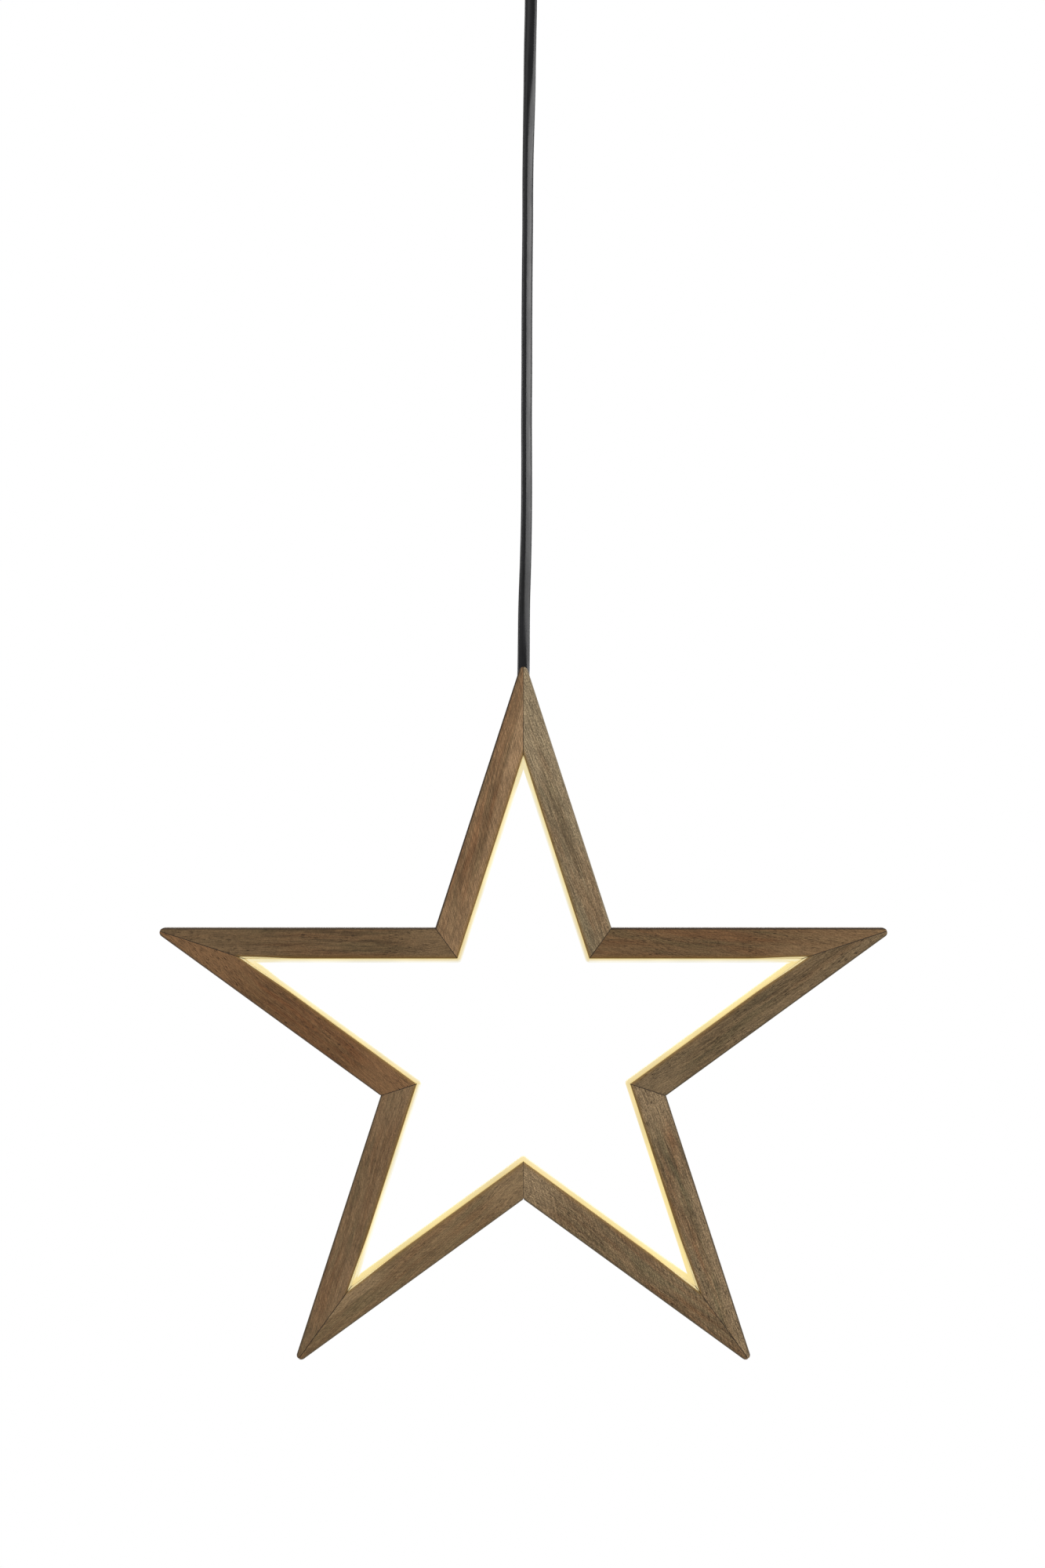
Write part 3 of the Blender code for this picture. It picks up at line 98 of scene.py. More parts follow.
BARS = (
    Bar(
        "bar_top_left", arm=0, side=1, glow=2.1, tone=(122, 95, 67), edge=(56, 45, 34),
        streaks=0.70, ruddy=0.40, porous=0.35, marked=1.10, gritty=0.60,
        slope=-0.08, slant=33.0, wander=1.6, lean=0.052,
        pale=(1.0, 0.0, 0.2, 0.6, 1.5), mitres=(0.15, 0.5),
    ),
    Bar(
        "bar_top_right", arm=0, side=-1, glow=2.1, tone=(126, 108, 82), edge=(128, 114, 92),
        streaks=0.75, ruddy=0.40, porous=0.55, marked=1.20, gritty=1.50,
        slope=-0.05, slant=5.0, wander=1.0, lean=0.0,
        pale=(0.2, 0.7, 0.8, 0.0, 0.7), mitres=(0.15, 0.5),
    ),
    Bar(
        "bar_left_lower", arm=1, side=1, glow=2.4, tone=(107, 78, 51), edge=(86, 70, 54),
        streaks=0.45, ruddy=0.50, porous=0.90, marked=0.45, gritty=0.60,
        slope=0.06, slant=-30.0, wander=2.4, lean=0.0,
        pale=(0.0, 0.0, 1.0, 0.8, 0.0),
    ),
    Bar(
        "bar_left_upper", arm=1, side=-1, glow=1.7, tone=(97, 76, 52), edge=(64, 53, 40),
        streaks=0.85, ruddy=0.35, porous=0.80, marked=0.25, gritty=0.70,
        slope=0.00, slant=60.0, wander=0.6, lean=0.0,
        pale=(0.0, 0.0, 0.6, 1.1, 0.7),
    ),
    Bar(
        "bar_lower_left_inner", arm=2, side=1, glow=4.2, tone=(119, 96, 68), edge=(98, 84, 64),
        streaks=0.40, ruddy=0.30, porous=0.60, marked=0.50, gritty=0.60,
        slope=-0.08, slant=-32.0, wander=1.2, lean=0.0,
        pale=(0.0, 0.0, 0.0, 0.7, 1.0), mitres=(0.5, 0.1),
    ),
    Bar(
        "bar_lower_left_outer", arm=2, side=-1, glow=1.6, tone=(115, 91, 65), edge=(76, 64, 48),
        streaks=0.40, ruddy=0.30, porous=0.45, marked=0.55, gritty=0.60,
        slope=-0.04, slant=32.0, wander=1.0, lean=0.0,
        pale=(0.0, 0.0, 0.0, 0.4, 0.4),
    ),
    Bar(
        "bar_lower_right_outer", arm=3, side=1, glow=3.3, tone=(117, 96, 70), edge=(86, 74, 58),
        streaks=1.10, ruddy=1.00, porous=0.80, marked=1.20, gritty=1.60,
        slope=-0.05, slant=3.0, wander=0.8, lean=0.0,
        pale=(0.2, 1.0, 0.0, 1.2, 0.5),
    ),
    Bar(
        "bar_lower_right_inner", arm=3, side=-1, glow=3.0, tone=(116, 95, 69), edge=(92, 80, 62),
        streaks=0.70, ruddy=0.55, porous=0.85, marked=1.20, gritty=1.40,
        slope=0.05, slant=-38.0, wander=2.2, lean=0.0,
        pale=(0.1, 0.0, 0.0, 1.2, 0.0), mitres=(0.5, 0.1),
    ),
    Bar(
        "bar_right_upper", arm=4, side=1, glow=1.5, tone=(104, 80, 54), edge=(44, 34, 25),
        streaks=0.40, ruddy=0.50, porous=0.90, marked=0.50, gritty=0.80,
        slope=0.12, slant=-30.0, wander=1.0, lean=0.0,
        pale=(0.2, 0.0, 0.7, 0.1, 0.9),
    ),
    Bar(
        "bar_right_lower", arm=4, side=-1, glow=4.2, tone=(103, 84, 60), edge=(84, 72, 54),
        streaks=0.85, ruddy=0.25, porous=0.90, marked=0.60, gritty=1.00,
        slope=0.02, slant=-14.0, wander=0.9, lean=0.0,
        pale=(0.1, 0.7, 0.0, 0.9, 0.0),
    ),
)

# Camera, level and square to the star, from the photograph's distance
CAMERA_PLACE = Vector((-4.7, -3108.0, -479.6)) * MM
CAMERA_TURN = math.radians(90.0)
CAMERA_LENS = 129.9
CAMERA_SENSOR = 36.0
CAMERA_NEAR = 0.1
CAMERA_FAR = 60.0

# Flat cord
CORD_WIDTH = 6.8 * MM
CORD_THICKNESS = 4.2 * MM
CORD_STEPS = 40
CORD_SQUARENESS = 2.5
CORD_END_SIZE = 0.90
CORD_RING_SPACING = 3.0 * MM
CORD_EXIT = Vector((-4.2, 0, -436.0)) * MM
CORD_MIDDLE = CORD_EXIT / 2
ROUTE_STEPS = 24
CORD_ROUTE = (
    # x and height in millimetres, and the twist of the broad side in degrees
    (-4.20, -446.5, 0.0),
    (-4.20, -438.0, 0.0),
    (-4.20, -429.0, 0.0),
    (-4.20, -420.4, 0.0),
    (-4.08, -412.4, 14.0),
    (-3.78, -382.6, 27.0),
    (-2.98, -356.4, 35.0),
    (-2.48, -330.4, 40.0),
    (-2.39, -304.4, 43.0),
    (-2.44, -278.4, 44.0),
    (-2.31, -252.3, 44.0),
    (-2.27, -226.3, 44.0),
    (-2.10, -200.3, 44.0),
    (-1.85, -174.3, 44.0),
    (-1.76, -148.2, 42.0),
    (-1.43, -125.9, 36.0),
    (-0.88, -99.9, 21.0),
    (-0.59, -77.6, 6.0),
    (-0.13, -55.3, 1.0),
    (0.00, -40.4, 0.0),
)
ROOT_TOP = -19.5 * MM
ROOT_FOOT = -35.6 * MM
SWING_CENTRE = Vector((0, 0, -38.0)) * MM
BEND_RINGS = 12
BEND_STEPS = 24
BEND_END_SIZE = 0.05

# Glowing cover over the light strip: its section, as distance from the wood and front to back
COVER_SKIN = 0.02
COVER_CHANNEL = 1.3
COVER_HEIGHT = 2.3
COVER_HALF = 5.0
CHANNEL_HALF = 4.15
COVER_ROUND = 1.0
COVER_ROUND_STEPS = 5
COVER_ROOF_STEPS = 8
# Round the window: the steps round a waist's corner, and where a point lies beside a window's point,
# as a share of the way to the waist
WAIST_STEPS = 8
BESIDE_TIP = 0.03
# The notch in the cover for the strip's leads, at the top arm's point
NOTCH_REACH = 14.5 * MM
NOTCH_FRONT = -2.2 * MM
NOTCH_SPARE = 4.0 * MM

# Where the cover's light changes, in millimetres from the star's centre and from the wood
GLOW_WIDENS = (138.0, 152.0)
GLOW_DULLS = (95.0, 68.0)
GOLD_PALES = (140.0, 152.0)
GOLD_LINE = (0.5, 0.1)

# Glue in the mitres: as thick as their gap, and behind the bars' front faces
GLUE_THICKNESS = 0.3 * MM
GLUE_FRONT = -7.6 * MM
GLUE_BACK = 0.5 * MM
GLUE_BACK_TOP = -2.6 * MM
GLUE_INSET = 0.4 * MM
BOX_FACES = ((0, 2, 3, 1), (4, 5, 7, 6), (0, 1, 5, 4), (2, 6, 7, 3), (0, 4, 6, 2), (1, 3, 7, 5))

# Glue is paler in the top tip's mitre and the lowest waist's: off the star's axis, and in height
PALE_GLUE_MIDDLE = (3.0, 1.0)
PALE_GLUE_TIP = (176.0, 188.0)
PALE_GLUE_WAIST = (-46.0, -49.0)

# Wood: tints of a bar's tone, and by how much paler wood is paler
DARK_STREAK = (0.82, 0.81, 0.79)
PALE_STREAK = (1.16, 1.17, 1.18)
RUDDY_PATCH = (1.06, 0.93, 0.85)
GREEN_GREY_PATCH = (0.90, 0.99, 0.99)
FLECK = (1.34, 1.36, 1.38)
PORE = (0.46, 0.42, 0.38)
MITRE_STAIN = (0.42, 0.38, 0.34)
PALER_WOOD = (0.17, 0.20, 0.24)
SEED_STEP = 10.0
# Where a bar's wood can be paler, in millimetres across it from its inner face, or along it from the
# place nearest the star's centre
INNER_SIDE = (8.5, 5.0)
OUTER_SIDE = (9.5, 13.5)
OUTER_SIDE_ALONG = (70.0, 115.0)
TIP_ALONG = (130.0, 165.0)
WAIST_ALONG = (78.0, 52.0)
POINT_SIDE = (7.9, 6.5)
POINT_ALONG = (126.0, 146.0)
LEAN_FROM = 137.0
# The painted shade and painted reflection on the front outer edge: its depth, and how far in from the
# bar's outer face it ends and is full
EDGE_SHADING_DEPTH = (-5.8, -7.0)
EDGE_SHADING_END = 1.1
EDGE_SHADING_FULL = 0.5
# Painted light from the strip on the wood beside it: how far from the bar's inner face each painted
# colour fades in
PAINTED_WARM_LIGHT_SIDE = (3.0, 0.4)
PAINTED_GOLDEN_LIGHT_SIDE = (1.3, 0.3)
LIT_SIDE = (0.20, -0.10)
PAINTED_WARM_LIGHT_TONE = (130, 98, 52)
LIT_TONE = (247, 228, 172)
# The painted golden light where a bar's inner face looks down or sideways, and the brighter painted
# light where it looks up, which it does when the bar's outward direction is lower than this
PAINTED_GOLDEN_LIGHT_TONE = (116, 88, 40)
PAINTED_GOLDEN_LIGHT_TONE_UP = (140, 110, 62)
FACES_UP = -0.5
# The painted golden light and the painted lit wood reach further by the window's point: where along
# the bar, and how much further, with the top arm's own measure
LIT_ALONG = (120.0, 154.0)
LIT_FURTHER = -1.0
LIT_FURTHER_TOP = -0.2
# How far from a mitre its stain fades in
MITRE_LINE = (0.40, 0.05)

# Light strip's copper tracks: off the middle of the board, their inner and outer sides
TRACK_INNER = (1.9, 2.1)
TRACK_OUTER = (3.5, 3.3)

# Studio
FLOOR_LEVEL = -5.4
FLOOR_RADIUS = 5.0
FLOOR_STEPS = 96
KEY_PLACE = Vector((-1.2, -3.4, 0.9))
KEY_SIZE = 2.4
KEY_POWER = 32.0
SIDE_PLACE = Vector((2.3, -0.7, -0.05))
SIDE_WIDTH = 2.6
SIDE_HEIGHT = 0.6
SIDE_POWER = 53.0
EDGE_PLACE = Vector((-2.6, -0.35, -0.02))
EDGE_WIDTH = 0.4
EDGE_HEIGHT = 1.4
EDGE_POWER = 20.0
BACK_PLACE = Vector((0.4, 3.4, 0.4))
BACK_SIZE = 2.4
BACK_POWER = 48.0
WORLD_FILL = 0.55
FLOOR_LIFT = 0.45
FLOOR_SHADE = 0.85

# Noise goes from about this far below its middle to this far above it, and looks fade over spans of
# it: nearly all, most, or the middle
NOISE_MIDDLE = 0.5
NOISE_REACH = 0.25
WIDE_SPAN = (0.3, 0.7)
USUAL_SPAN = (0.35, 0.65)
NARROW_SPAN = (0.40, 0.60)


def srgb(red, green, blue):
    """A colour given as it shows on screen, from 0 to 255, as Blender's linear colour."""
    made = []
    for value in (red, green, blue):
        value /= 255
        made.append(value / 12.92 if value <= 0.04045 else ((value + 0.055) / 1.055) ** 2.4)
    return (*made, 1.0)


class Look:
    """One material; each call adds a node and gives back the socket that others read."""

    def __init__(self, name):
        self.material = bpy.data.materials.new(name)
        self.material.use_nodes = True
        self.nodes = self.material.node_tree.nodes
        self.links = self.material.node_tree.links
        self.shader = self.nodes["Principled BSDF"]

    def feed(self, socket, value):
        if isinstance(value, bpy.types.NodeSocket):
            self.links.new(value, socket)
        else:
            socket.default_value = value

    def add(self, kind, inputs, **settings):
        node = self.nodes.new(kind)
        for key, value in settings.items():
            setattr(node, key, value)
        for key, value in inputs.items():
            self.feed(node.inputs[key], value)
        return node

    def set(self, **sockets):
        """Feeds the shader: base_color=... goes to its Base Color, and so on."""
        for key, value in sockets.items():
            name = key.replace("_", " ").title().replace("Ior", "IOR")
            self.feed(self.shader.inputs[name], value)

    def place(self, location=(0, 0, 0), turn=0.0):
        """Where a point is, in millimetres, in axes moved to location and turned about Y."""
        source = self.add("ShaderNodeTexCoord", {}).outputs["Object"]
        inputs = {
            "Vector": source,
            "Location": location,
            "Rotation": (0, turn, 0),
            "Scale": (MM, MM, MM),
        }
        return self.add("ShaderNodeMapping", inputs, vector_type="TEXTURE").outputs[0]

    def attribute(self, name):
        return self.add("ShaderNodeAttribute", {}, attribute_name=name).outputs["Fac"]

    def turned(self, place, angle):
        """The place in axes turned about Y."""
        inputs = {"Vector": place, "Rotation": (0, angle, 0)}
        return self.add("ShaderNodeMapping", inputs).outputs[0]

    def parts(self, vector):
        return self.add("ShaderNodeSeparateXYZ", {0: vector}).outputs[:]

    def vector(self, x, y, z):
        return self.add("ShaderNodeCombineXYZ", {0: x, 1: y, 2: z}).outputs[0]

    def math(self, operation, first, second=0.0):
        return self.add("ShaderNodeMath", {0: first, 1: second}, operation=operation).outputs[0]

    def vector_math(self, operation, inputs, output="Vector"):
        return self.add("ShaderNodeVectorMath", inputs, operation=operation).outputs[output]

    def plus(self, first, second):
        return self.math("ADD", first, second)

    def times(self, first, second):
        return self.math("MULTIPLY", first, second)

    def fade(self, value, start, end, low=0.0, high=1.0):
        """A smooth change from low, where value is start, to high, where it is end."""
        inputs = {"Value": value, "From Min": start, "From Max": end, "To Min": low, "To Max": high}
        return self.add("ShaderNodeMapRange", inputs, interpolation_type="SMOOTHSTEP").outputs[0]

    def over(self, place, length):
        """The place divided by a length, or by three of them: along x, y and z."""
        lengths = length if isinstance(length, tuple) else (length,) * 3
        return self.vector_math("DIVIDE", {0: place, 1: lengths})

    def noise(self, place, length, seed=0.0, detail=2.0, rough=0.5):
        """Noise whose features have that length, or those three."""
        inputs = {
            "Vector": self.over(place, length),
            "W": seed,
            "Scale": 1.0,
            "Detail": detail,
            "Roughness": rough,
        }
        return self.add("ShaderNodeTexNoise", inputs, noise_dimensions="4D").outputs[0]

    def cells(self, place, length):
        """A colour for each cell of about that length."""
        inputs = {"Vector": self.over(place, length), "Scale": 1.0}
        return self.add("ShaderNodeTexVoronoi", inputs).outputs["Color"]

    def mix(self, share, first, second):
        settings = {"data_type": "RGBA", "clamp_factor": True}
        return self.add("ShaderNodeMix", {0: share, 6: first, 7: second}, **settings).outputs[2]

    def bump(self, height, distance):
        inputs = {"Height": height, "Distance": distance}
        self.set(normal=self.add("ShaderNodeBump", inputs).outputs[0])


def add_object(name, data):
    made = bpy.data.objects.new(name, data)
    bpy.context.scene.collection.objects.link(made)
    return made


def make_mesh(name, points, faces, smooth=True):
    mesh = bpy.data.meshes.new(name)
    mesh.from_pydata([tuple(point) for point in points], [], faces)
    mesh.update()
    if smooth:
        mesh.shade_smooth()
    return add_object(name, mesh)


def tube_faces(rings, count, closed=False):
    """The faces of a tube of rings of count points, capped unless its last ring joins the first."""
    faces = []
    for ring in range(rings if closed else rings - 1):
        low, high = ring * count, (ring + 1) % rings * count
        for step in range(count):
            after = (step + 1) % count
            faces.append((low + step, low + after, high + after, high + step))
    if not closed:
        faces.append(tuple(range(count))[::-1])
        faces.append(tuple(range((rings - 1) * count, rings * count)))
    return faces


def paint(thing, look):
    thing.data.materials.clear()
    thing.data.materials.append(look.material)
    for face in thing.data.polygons:
        face.material_index = 0


# Camera and cord

def make_camera():
    data = bpy.data.cameras.new("camera")
    data.lens = CAMERA_LENS
    data.sensor_width = CAMERA_SENSOR
    data.clip_start = CAMERA_NEAR
    data.clip_end = CAMERA_FAR
    camera = add_object("camera", data)
    camera.location = CAMERA_PLACE
    camera.rotation_euler = (CAMERA_TURN, 0, 0)
    bpy.context.scene.camera = camera


def smooth_route(route, spacing):
    """Evenly spaced points on a smooth curve through the route; values after x, y, z go along."""
    route = [np.array(point, float) for point in route]
    ends = [2 * route[0] - route[1]] + route + [2 * route[-1] - route[-2]]
    fine = []
    for before, start, end, after in zip(ends, ends[1:], ends[2:], ends[3:]):
        for step in range(ROUTE_STEPS):
            t = step / ROUTE_STEPS
            slope = (end - before) / 2
            bend = before - 2.5 * start + 2 * end - after / 2
            twist = 1.5 * (start - end) + (after - before) / 2
            fine.append(start + slope * t + bend * t**2 + twist * t**3)
    fine.append(route[-1])
    fine = np.array(fine)
    along = np.concatenate([[0], np.cumsum(np.linalg.norm(np.diff(fine[:, :3], axis=0), axis=1))])
    count = max(2, round(along[-1] / spacing) + 1)
    even = np.linspace(0, along[-1], count)
    return np.array([[np.interp(s, along, column) for column in fine.T] for s in even])


def squared(part):
    """A sine or cosine drawn outwards, which squares off the oval made from it."""
    return math.copysign(abs(part) ** (2 / CORD_SQUARENESS), part)


def cord_section():
    """The cord's cross-section: an oval squared off a little, with nearly flat broad sides."""
    turns = [2 * math.pi * step / CORD_STEPS for step in range(CORD_STEPS)]
    half_width, half_thickness = CORD_WIDTH / 2, CORD_THICKNESS / 2
    return [
        (half_width * squared(math.cos(turn)), half_thickness * squared(math.sin(turn)))
        for turn in turns
    ]


def flat_cord(name, rings, look):
    """A stretch of flat cord through rings of x, y, z and twist, its two ends a little rounded."""
    section = cord_section()
    points = []
    for ring, (x, y, z, twist) in enumerate(rings):
        size = CORD_END_SIZE if ring in (0, len(rings) - 1) else 1.0
        turn = math.radians(twist)
        for across, deep in section:
            right = across * math.cos(turn) - deep * math.sin(turn)
            back = across * math.sin(turn) + deep * math.cos(turn)
            points.append((x + size * right, y + size * back, z))
    cord = make_mesh(name, points, tube_faces(len(rings), len(section)))
    cord.data.set_sharp_from_angle(angle=CREASE_ANGLE)
    paint(cord, look)
    return cord


def pvc_look():
    look = Look("cord_pvc")
    place = look.place()
    scuff = look.noise(place, (3.0, 3.0, 14.0), detail=3.0)
    fine = look.noise(place, (0.5, 0.5, 1.6), seed=2.0, detail=2.0)
    shade = look.fade(scuff, 0.35, 0.7)
    look.set(
        base_color=look.mix(shade, srgb(9, 9, 11), srgb(18, 18, 21)),
        roughness=look.fade(scuff, *WIDE_SPAN, 0.20, 0.30),
        specular_ior_level=0.18,
    )
    look.bump(look.plus(look.times(scuff, 0.6), look.times(fine, 0.4)), 0.06 * MM)
    return look


def make_cord():
    pvc = pvc_look()
    route = [(x * MM, 0.0, z * MM, twist) for x, z, twist in CORD_ROUTE]
    rings = smooth_route(route, CORD_RING_SPACING)
    cord = flat_cord("cord", rings, pvc)
    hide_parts("hanging_cord", "cord_tail")
    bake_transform(cord)
    head = [(0.0, 0.0, ROOT_FOOT, 0.0), (0.0, 0.0, ROOT_TOP, 0.0)]
    root = flat_cord("cord_root", smooth_route(head, CORD_RING_SPACING), pvc)
    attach(root, "fitting")
    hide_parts("cord_head")
    bend = make_bend(pvc)
    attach(bend, "neck")
    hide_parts("cord_neck")


def make_bend(pvc):
    """The cord's short bending place inside the grip: as wide as the cord, round front to back."""
    radius = CORD_THICKNESS / 2
    reach = CORD_WIDTH / 2 - radius
    points = []
    for ring in range(BEND_RINGS + 1):
        angle = math.pi * ring / BEND_RINGS
        side = reach if angle < math.pi / 2 else -reach
        x = side + radius * math.cos(angle)
        size = radius * max(math.sin(angle), BEND_END_SIZE)
        for step in range(BEND_STEPS):
            # Turning backwards, as the rings run against X and the faces look out
            turn = -2 * math.pi * step / BEND_STEPS
            points.append(SWING_CENTRE + Vector((x, size * math.cos(turn), size * math.sin(turn))))
    bend = make_mesh("cord_bend", points, tube_faces(BEND_RINGS + 1, BEND_STEPS))
    paint(bend, pvc)
    return bend


# Glowing cover

def on_arm(angle, along, across):
    """The (x, z) of a place on an arm: along its axis and across it, from the star's centre."""
    x = STAR_CENTRE.x + along * math.cos(angle) - across * math.sin(angle)
    z = STAR_CENTRE.z + along * math.sin(angle) + across * math.cos(angle)
    return x, z


def arm_angle(arm):
    """The direction of an arm's axis."""
    return math.pi / 2 + ARM_STEP * arm


def window_ring(offset):
    """A line round the window at that distance from the wood, rounded at the waists' corners."""
    ring = []
    corner = INNER_LINE / math.cos(HALF_ARM_STEP)
    point = INNER_RADIUS - offset / math.sin(HALF_POINT)
    for arm in range(ARMS):
        angle = arm_angle(arm)
        start, end = (Vector(on_arm(angle + step, point, 0)) for step in (0.0, ARM_STEP))
        waist = []
        for step in range(WAIST_STEPS + 1):
            turn = math.pi + HALF_ARM_STEP - ARM_STEP * step / WAIST_STEPS
            along = corner + offset * math.cos(turn)
            waist.append(Vector(on_arm(angle + HALF_ARM_STEP, along, offset * math.sin(turn))))
        ring += [start, start.lerp(waist[0], BESIDE_TIP), *waist, end.lerp(waist[-1], BESIDE_TIP)]
    return ring


def cover_section():
    """The channel's section as (distance from the wood, front to back), once round."""
    section = [(COVER_SKIN, -COVER_HALF)]
    low, side = COVER_HEIGHT - COVER_ROUND, COVER_HALF - COVER_ROUND
    for step in range(COVER_ROUND_STEPS + 1):
        turn = math.pi / 2 * step / COVER_ROUND_STEPS
        section.append((low + COVER_ROUND * math.sin(turn), -side - COVER_ROUND * math.cos(turn)))
    for step in range(1, COVER_ROOF_STEPS):
        section.append((COVER_HEIGHT, side * (2 * step / COVER_ROOF_STEPS - 1)))
    for step in range(COVER_ROUND_STEPS + 1):
        turn = math.pi / 2 * step / COVER_ROUND_STEPS
        section.append((low + COVER_ROUND * math.cos(turn), side + COVER_ROUND * math.sin(turn)))
    section += [(COVER_SKIN, COVER_HALF), (COVER_SKIN, CHANNEL_HALF), (COVER_CHANNEL, CHANNEL_HALF)]
    return section + [(COVER_CHANNEL, -CHANNEL_HALF), (COVER_SKIN, -CHANNEL_HALF)]


def make_box(name, low, high):
    work = bmesh.new()
    size = Vector(high) - Vector(low)
    middle = (Vector(high) + Vector(low)) / 2
    bmesh.ops.create_cube(work, size=1.0, matrix=Matrix.LocRotScale(middle, None, size))
    mesh = bpy.data.meshes.new(name)
    work.to_mesh(mesh)
    work.free()
    return add_object(name, mesh)


def cut(thing, cutter):
    """Cuts a piece with another, which is then removed."""
    modifier = thing.modifiers.new("cut", "BOOLEAN")
    modifier.operation = "DIFFERENCE"
    modifier.solver = "EXACT"
    modifier.object = cutter
    shape = thing.evaluated_get(bpy.context.evaluated_depsgraph_get())
    mesh = bpy.data.meshes.new_from_object(shape)
    thing.modifiers.clear()
    thing.data = mesh
    bpy.data.objects.remove(cutter)


def near_wood(points):
    """How far each point is from the nearest bar's inner face, and how far that bar's glow shows."""
    flat = np.array([(point[0], point[2]) for point in points])
    nearest = np.full(len(flat), np.inf)
    glows = np.zeros(len(flat))
    corner = INNER_LINE / math.cos(HALF_ARM_STEP)
    for bar in BARS:
        angle = arm_angle(bar.arm)
        start = np.array(on_arm(angle, INNER_RADIUS, 0))
        run = np.array(on_arm(angle + bar.side * HALF_ARM_STEP, corner, 0)) - start
        share = np.clip((flat - start) @ run / (run @ run), 0, 1)
        gap = np.linalg.norm(flat - start - share[:, None] * run, axis=1)
        closer = gap < nearest
        nearest[closer] = gap[closer]
        glows[closer] = bar.glow
    return nearest / MM, glows


def make_cover():
    section = cover_section()
    rings = [window_ring(offset * MM) for offset, _ in section]
    points = [(x, deep * MM, z) for ring, (_, deep) in zip(rings, section) for x, z in ring]
    cover = make_mesh("glow_cover", points, tube_faces(len(section), len(rings[0]), closed=True))
    top = STAR_CENTRE.z + INNER_RADIUS
    half = NOTCH_REACH * math.tan(HALF_POINT)
    low = (STAR_CENTRE.x - half, NOTCH_FRONT, top - NOTCH_REACH)
    high = (STAR_CENTRE.x + half, COVER_HALF * MM + NOTCH_SPARE, top + NOTCH_SPARE)
    cut(cover, make_box("notch", low, high))
    cover.data.set_sharp_from_angle(angle=CREASE_ANGLE)
    gaps, glows = near_wood([vertex.co for vertex in cover.data.vertices])
    for name, values in (("off_wood", gaps), ("spread", glows)):
        cover.data.attributes.new(name, "FLOAT", "POINT").data.foreach_set("value", values)
    paint(cover, glow_look())
    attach(cover, "star")
    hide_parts("led_cover")


def glow_look():
    """Lit silicone: golden at the wood, warm beside it and duller by the waists, then white."""
    look = Look("opal_glow")
    place = look.place()
    reach = look.attribute("off_wood")
    spread = look.attribute("spread")
    patch = look.noise(place, 26.0, detail=1.0)
    across, _, height = look.parts(look.place(STAR_CENTRE))
    radius = look.vector_math("LENGTH", {0: look.vector(across, 0, height)}, "Value")
    width = look.times(spread, look.fade(radius, *GLOW_WIDENS, 1.0, 1.6))
    share = look.math("DIVIDE", reach, width)
    warm = look.mix(look.fade(spread, 1.6, 3.0), srgb(253, 243, 204), srgb(250, 228, 156))
    warm = look.mix(look.fade(radius, *GLOW_DULLS, 0.0, 0.4), warm, srgb(228, 204, 160))
    gold = look.mix(look.fade(radius, *GOLD_PALES), srgb(246, 216, 132), srgb(247, 231, 172))
    warm = look.mix(look.fade(reach, *GOLD_LINE), warm, gold)
    colour = look.mix(look.fade(share, 0.45, 1.15), warm, srgb(255, 254, 246))
    grain = look.fade(patch, *WIDE_SPAN, 0.70, 0.80)
    look.set(
        base_color=look.mix(grain, srgb(112, 104, 80), srgb(140, 134, 112)),
        roughness=look.fade(patch, *WIDE_SPAN, 0.5, 0.62),
        specular_ior_level=0.1,
        emission_color=look.mix(grain, srgb(0, 0, 0), colour),
        emission_strength=1.0,
    )
    look.bump(look.noise(place, 1.2), 0.03 * MM)
    return look


# Wood

def tinted(tone, tint):
    """A tone on screen times a tint, no lighter than white."""
    return srgb(*(min(255, part * share) for part, share in zip(tone, tint)))


def paler_places(look, bar, reach, across):
    """How far each place holds where the bar's wood can be paler, in the shares' order."""
    level = look.plus(across, look.times(look.plus(reach, -LEAN_FROM), -bar.lean))
    return (
        look.fade(level, *INNER_SIDE),
        look.times(look.fade(across, *OUTER_SIDE), look.fade(reach, *OUTER_SIDE_ALONG, 0.2, 1.0)),
        look.fade(reach, *TIP_ALONG),
        look.fade(reach, *WAIST_ALONG),
        look.times(look.fade(level, *POINT_SIDE), look.fade(reach, *POINT_ALONG)),
    )


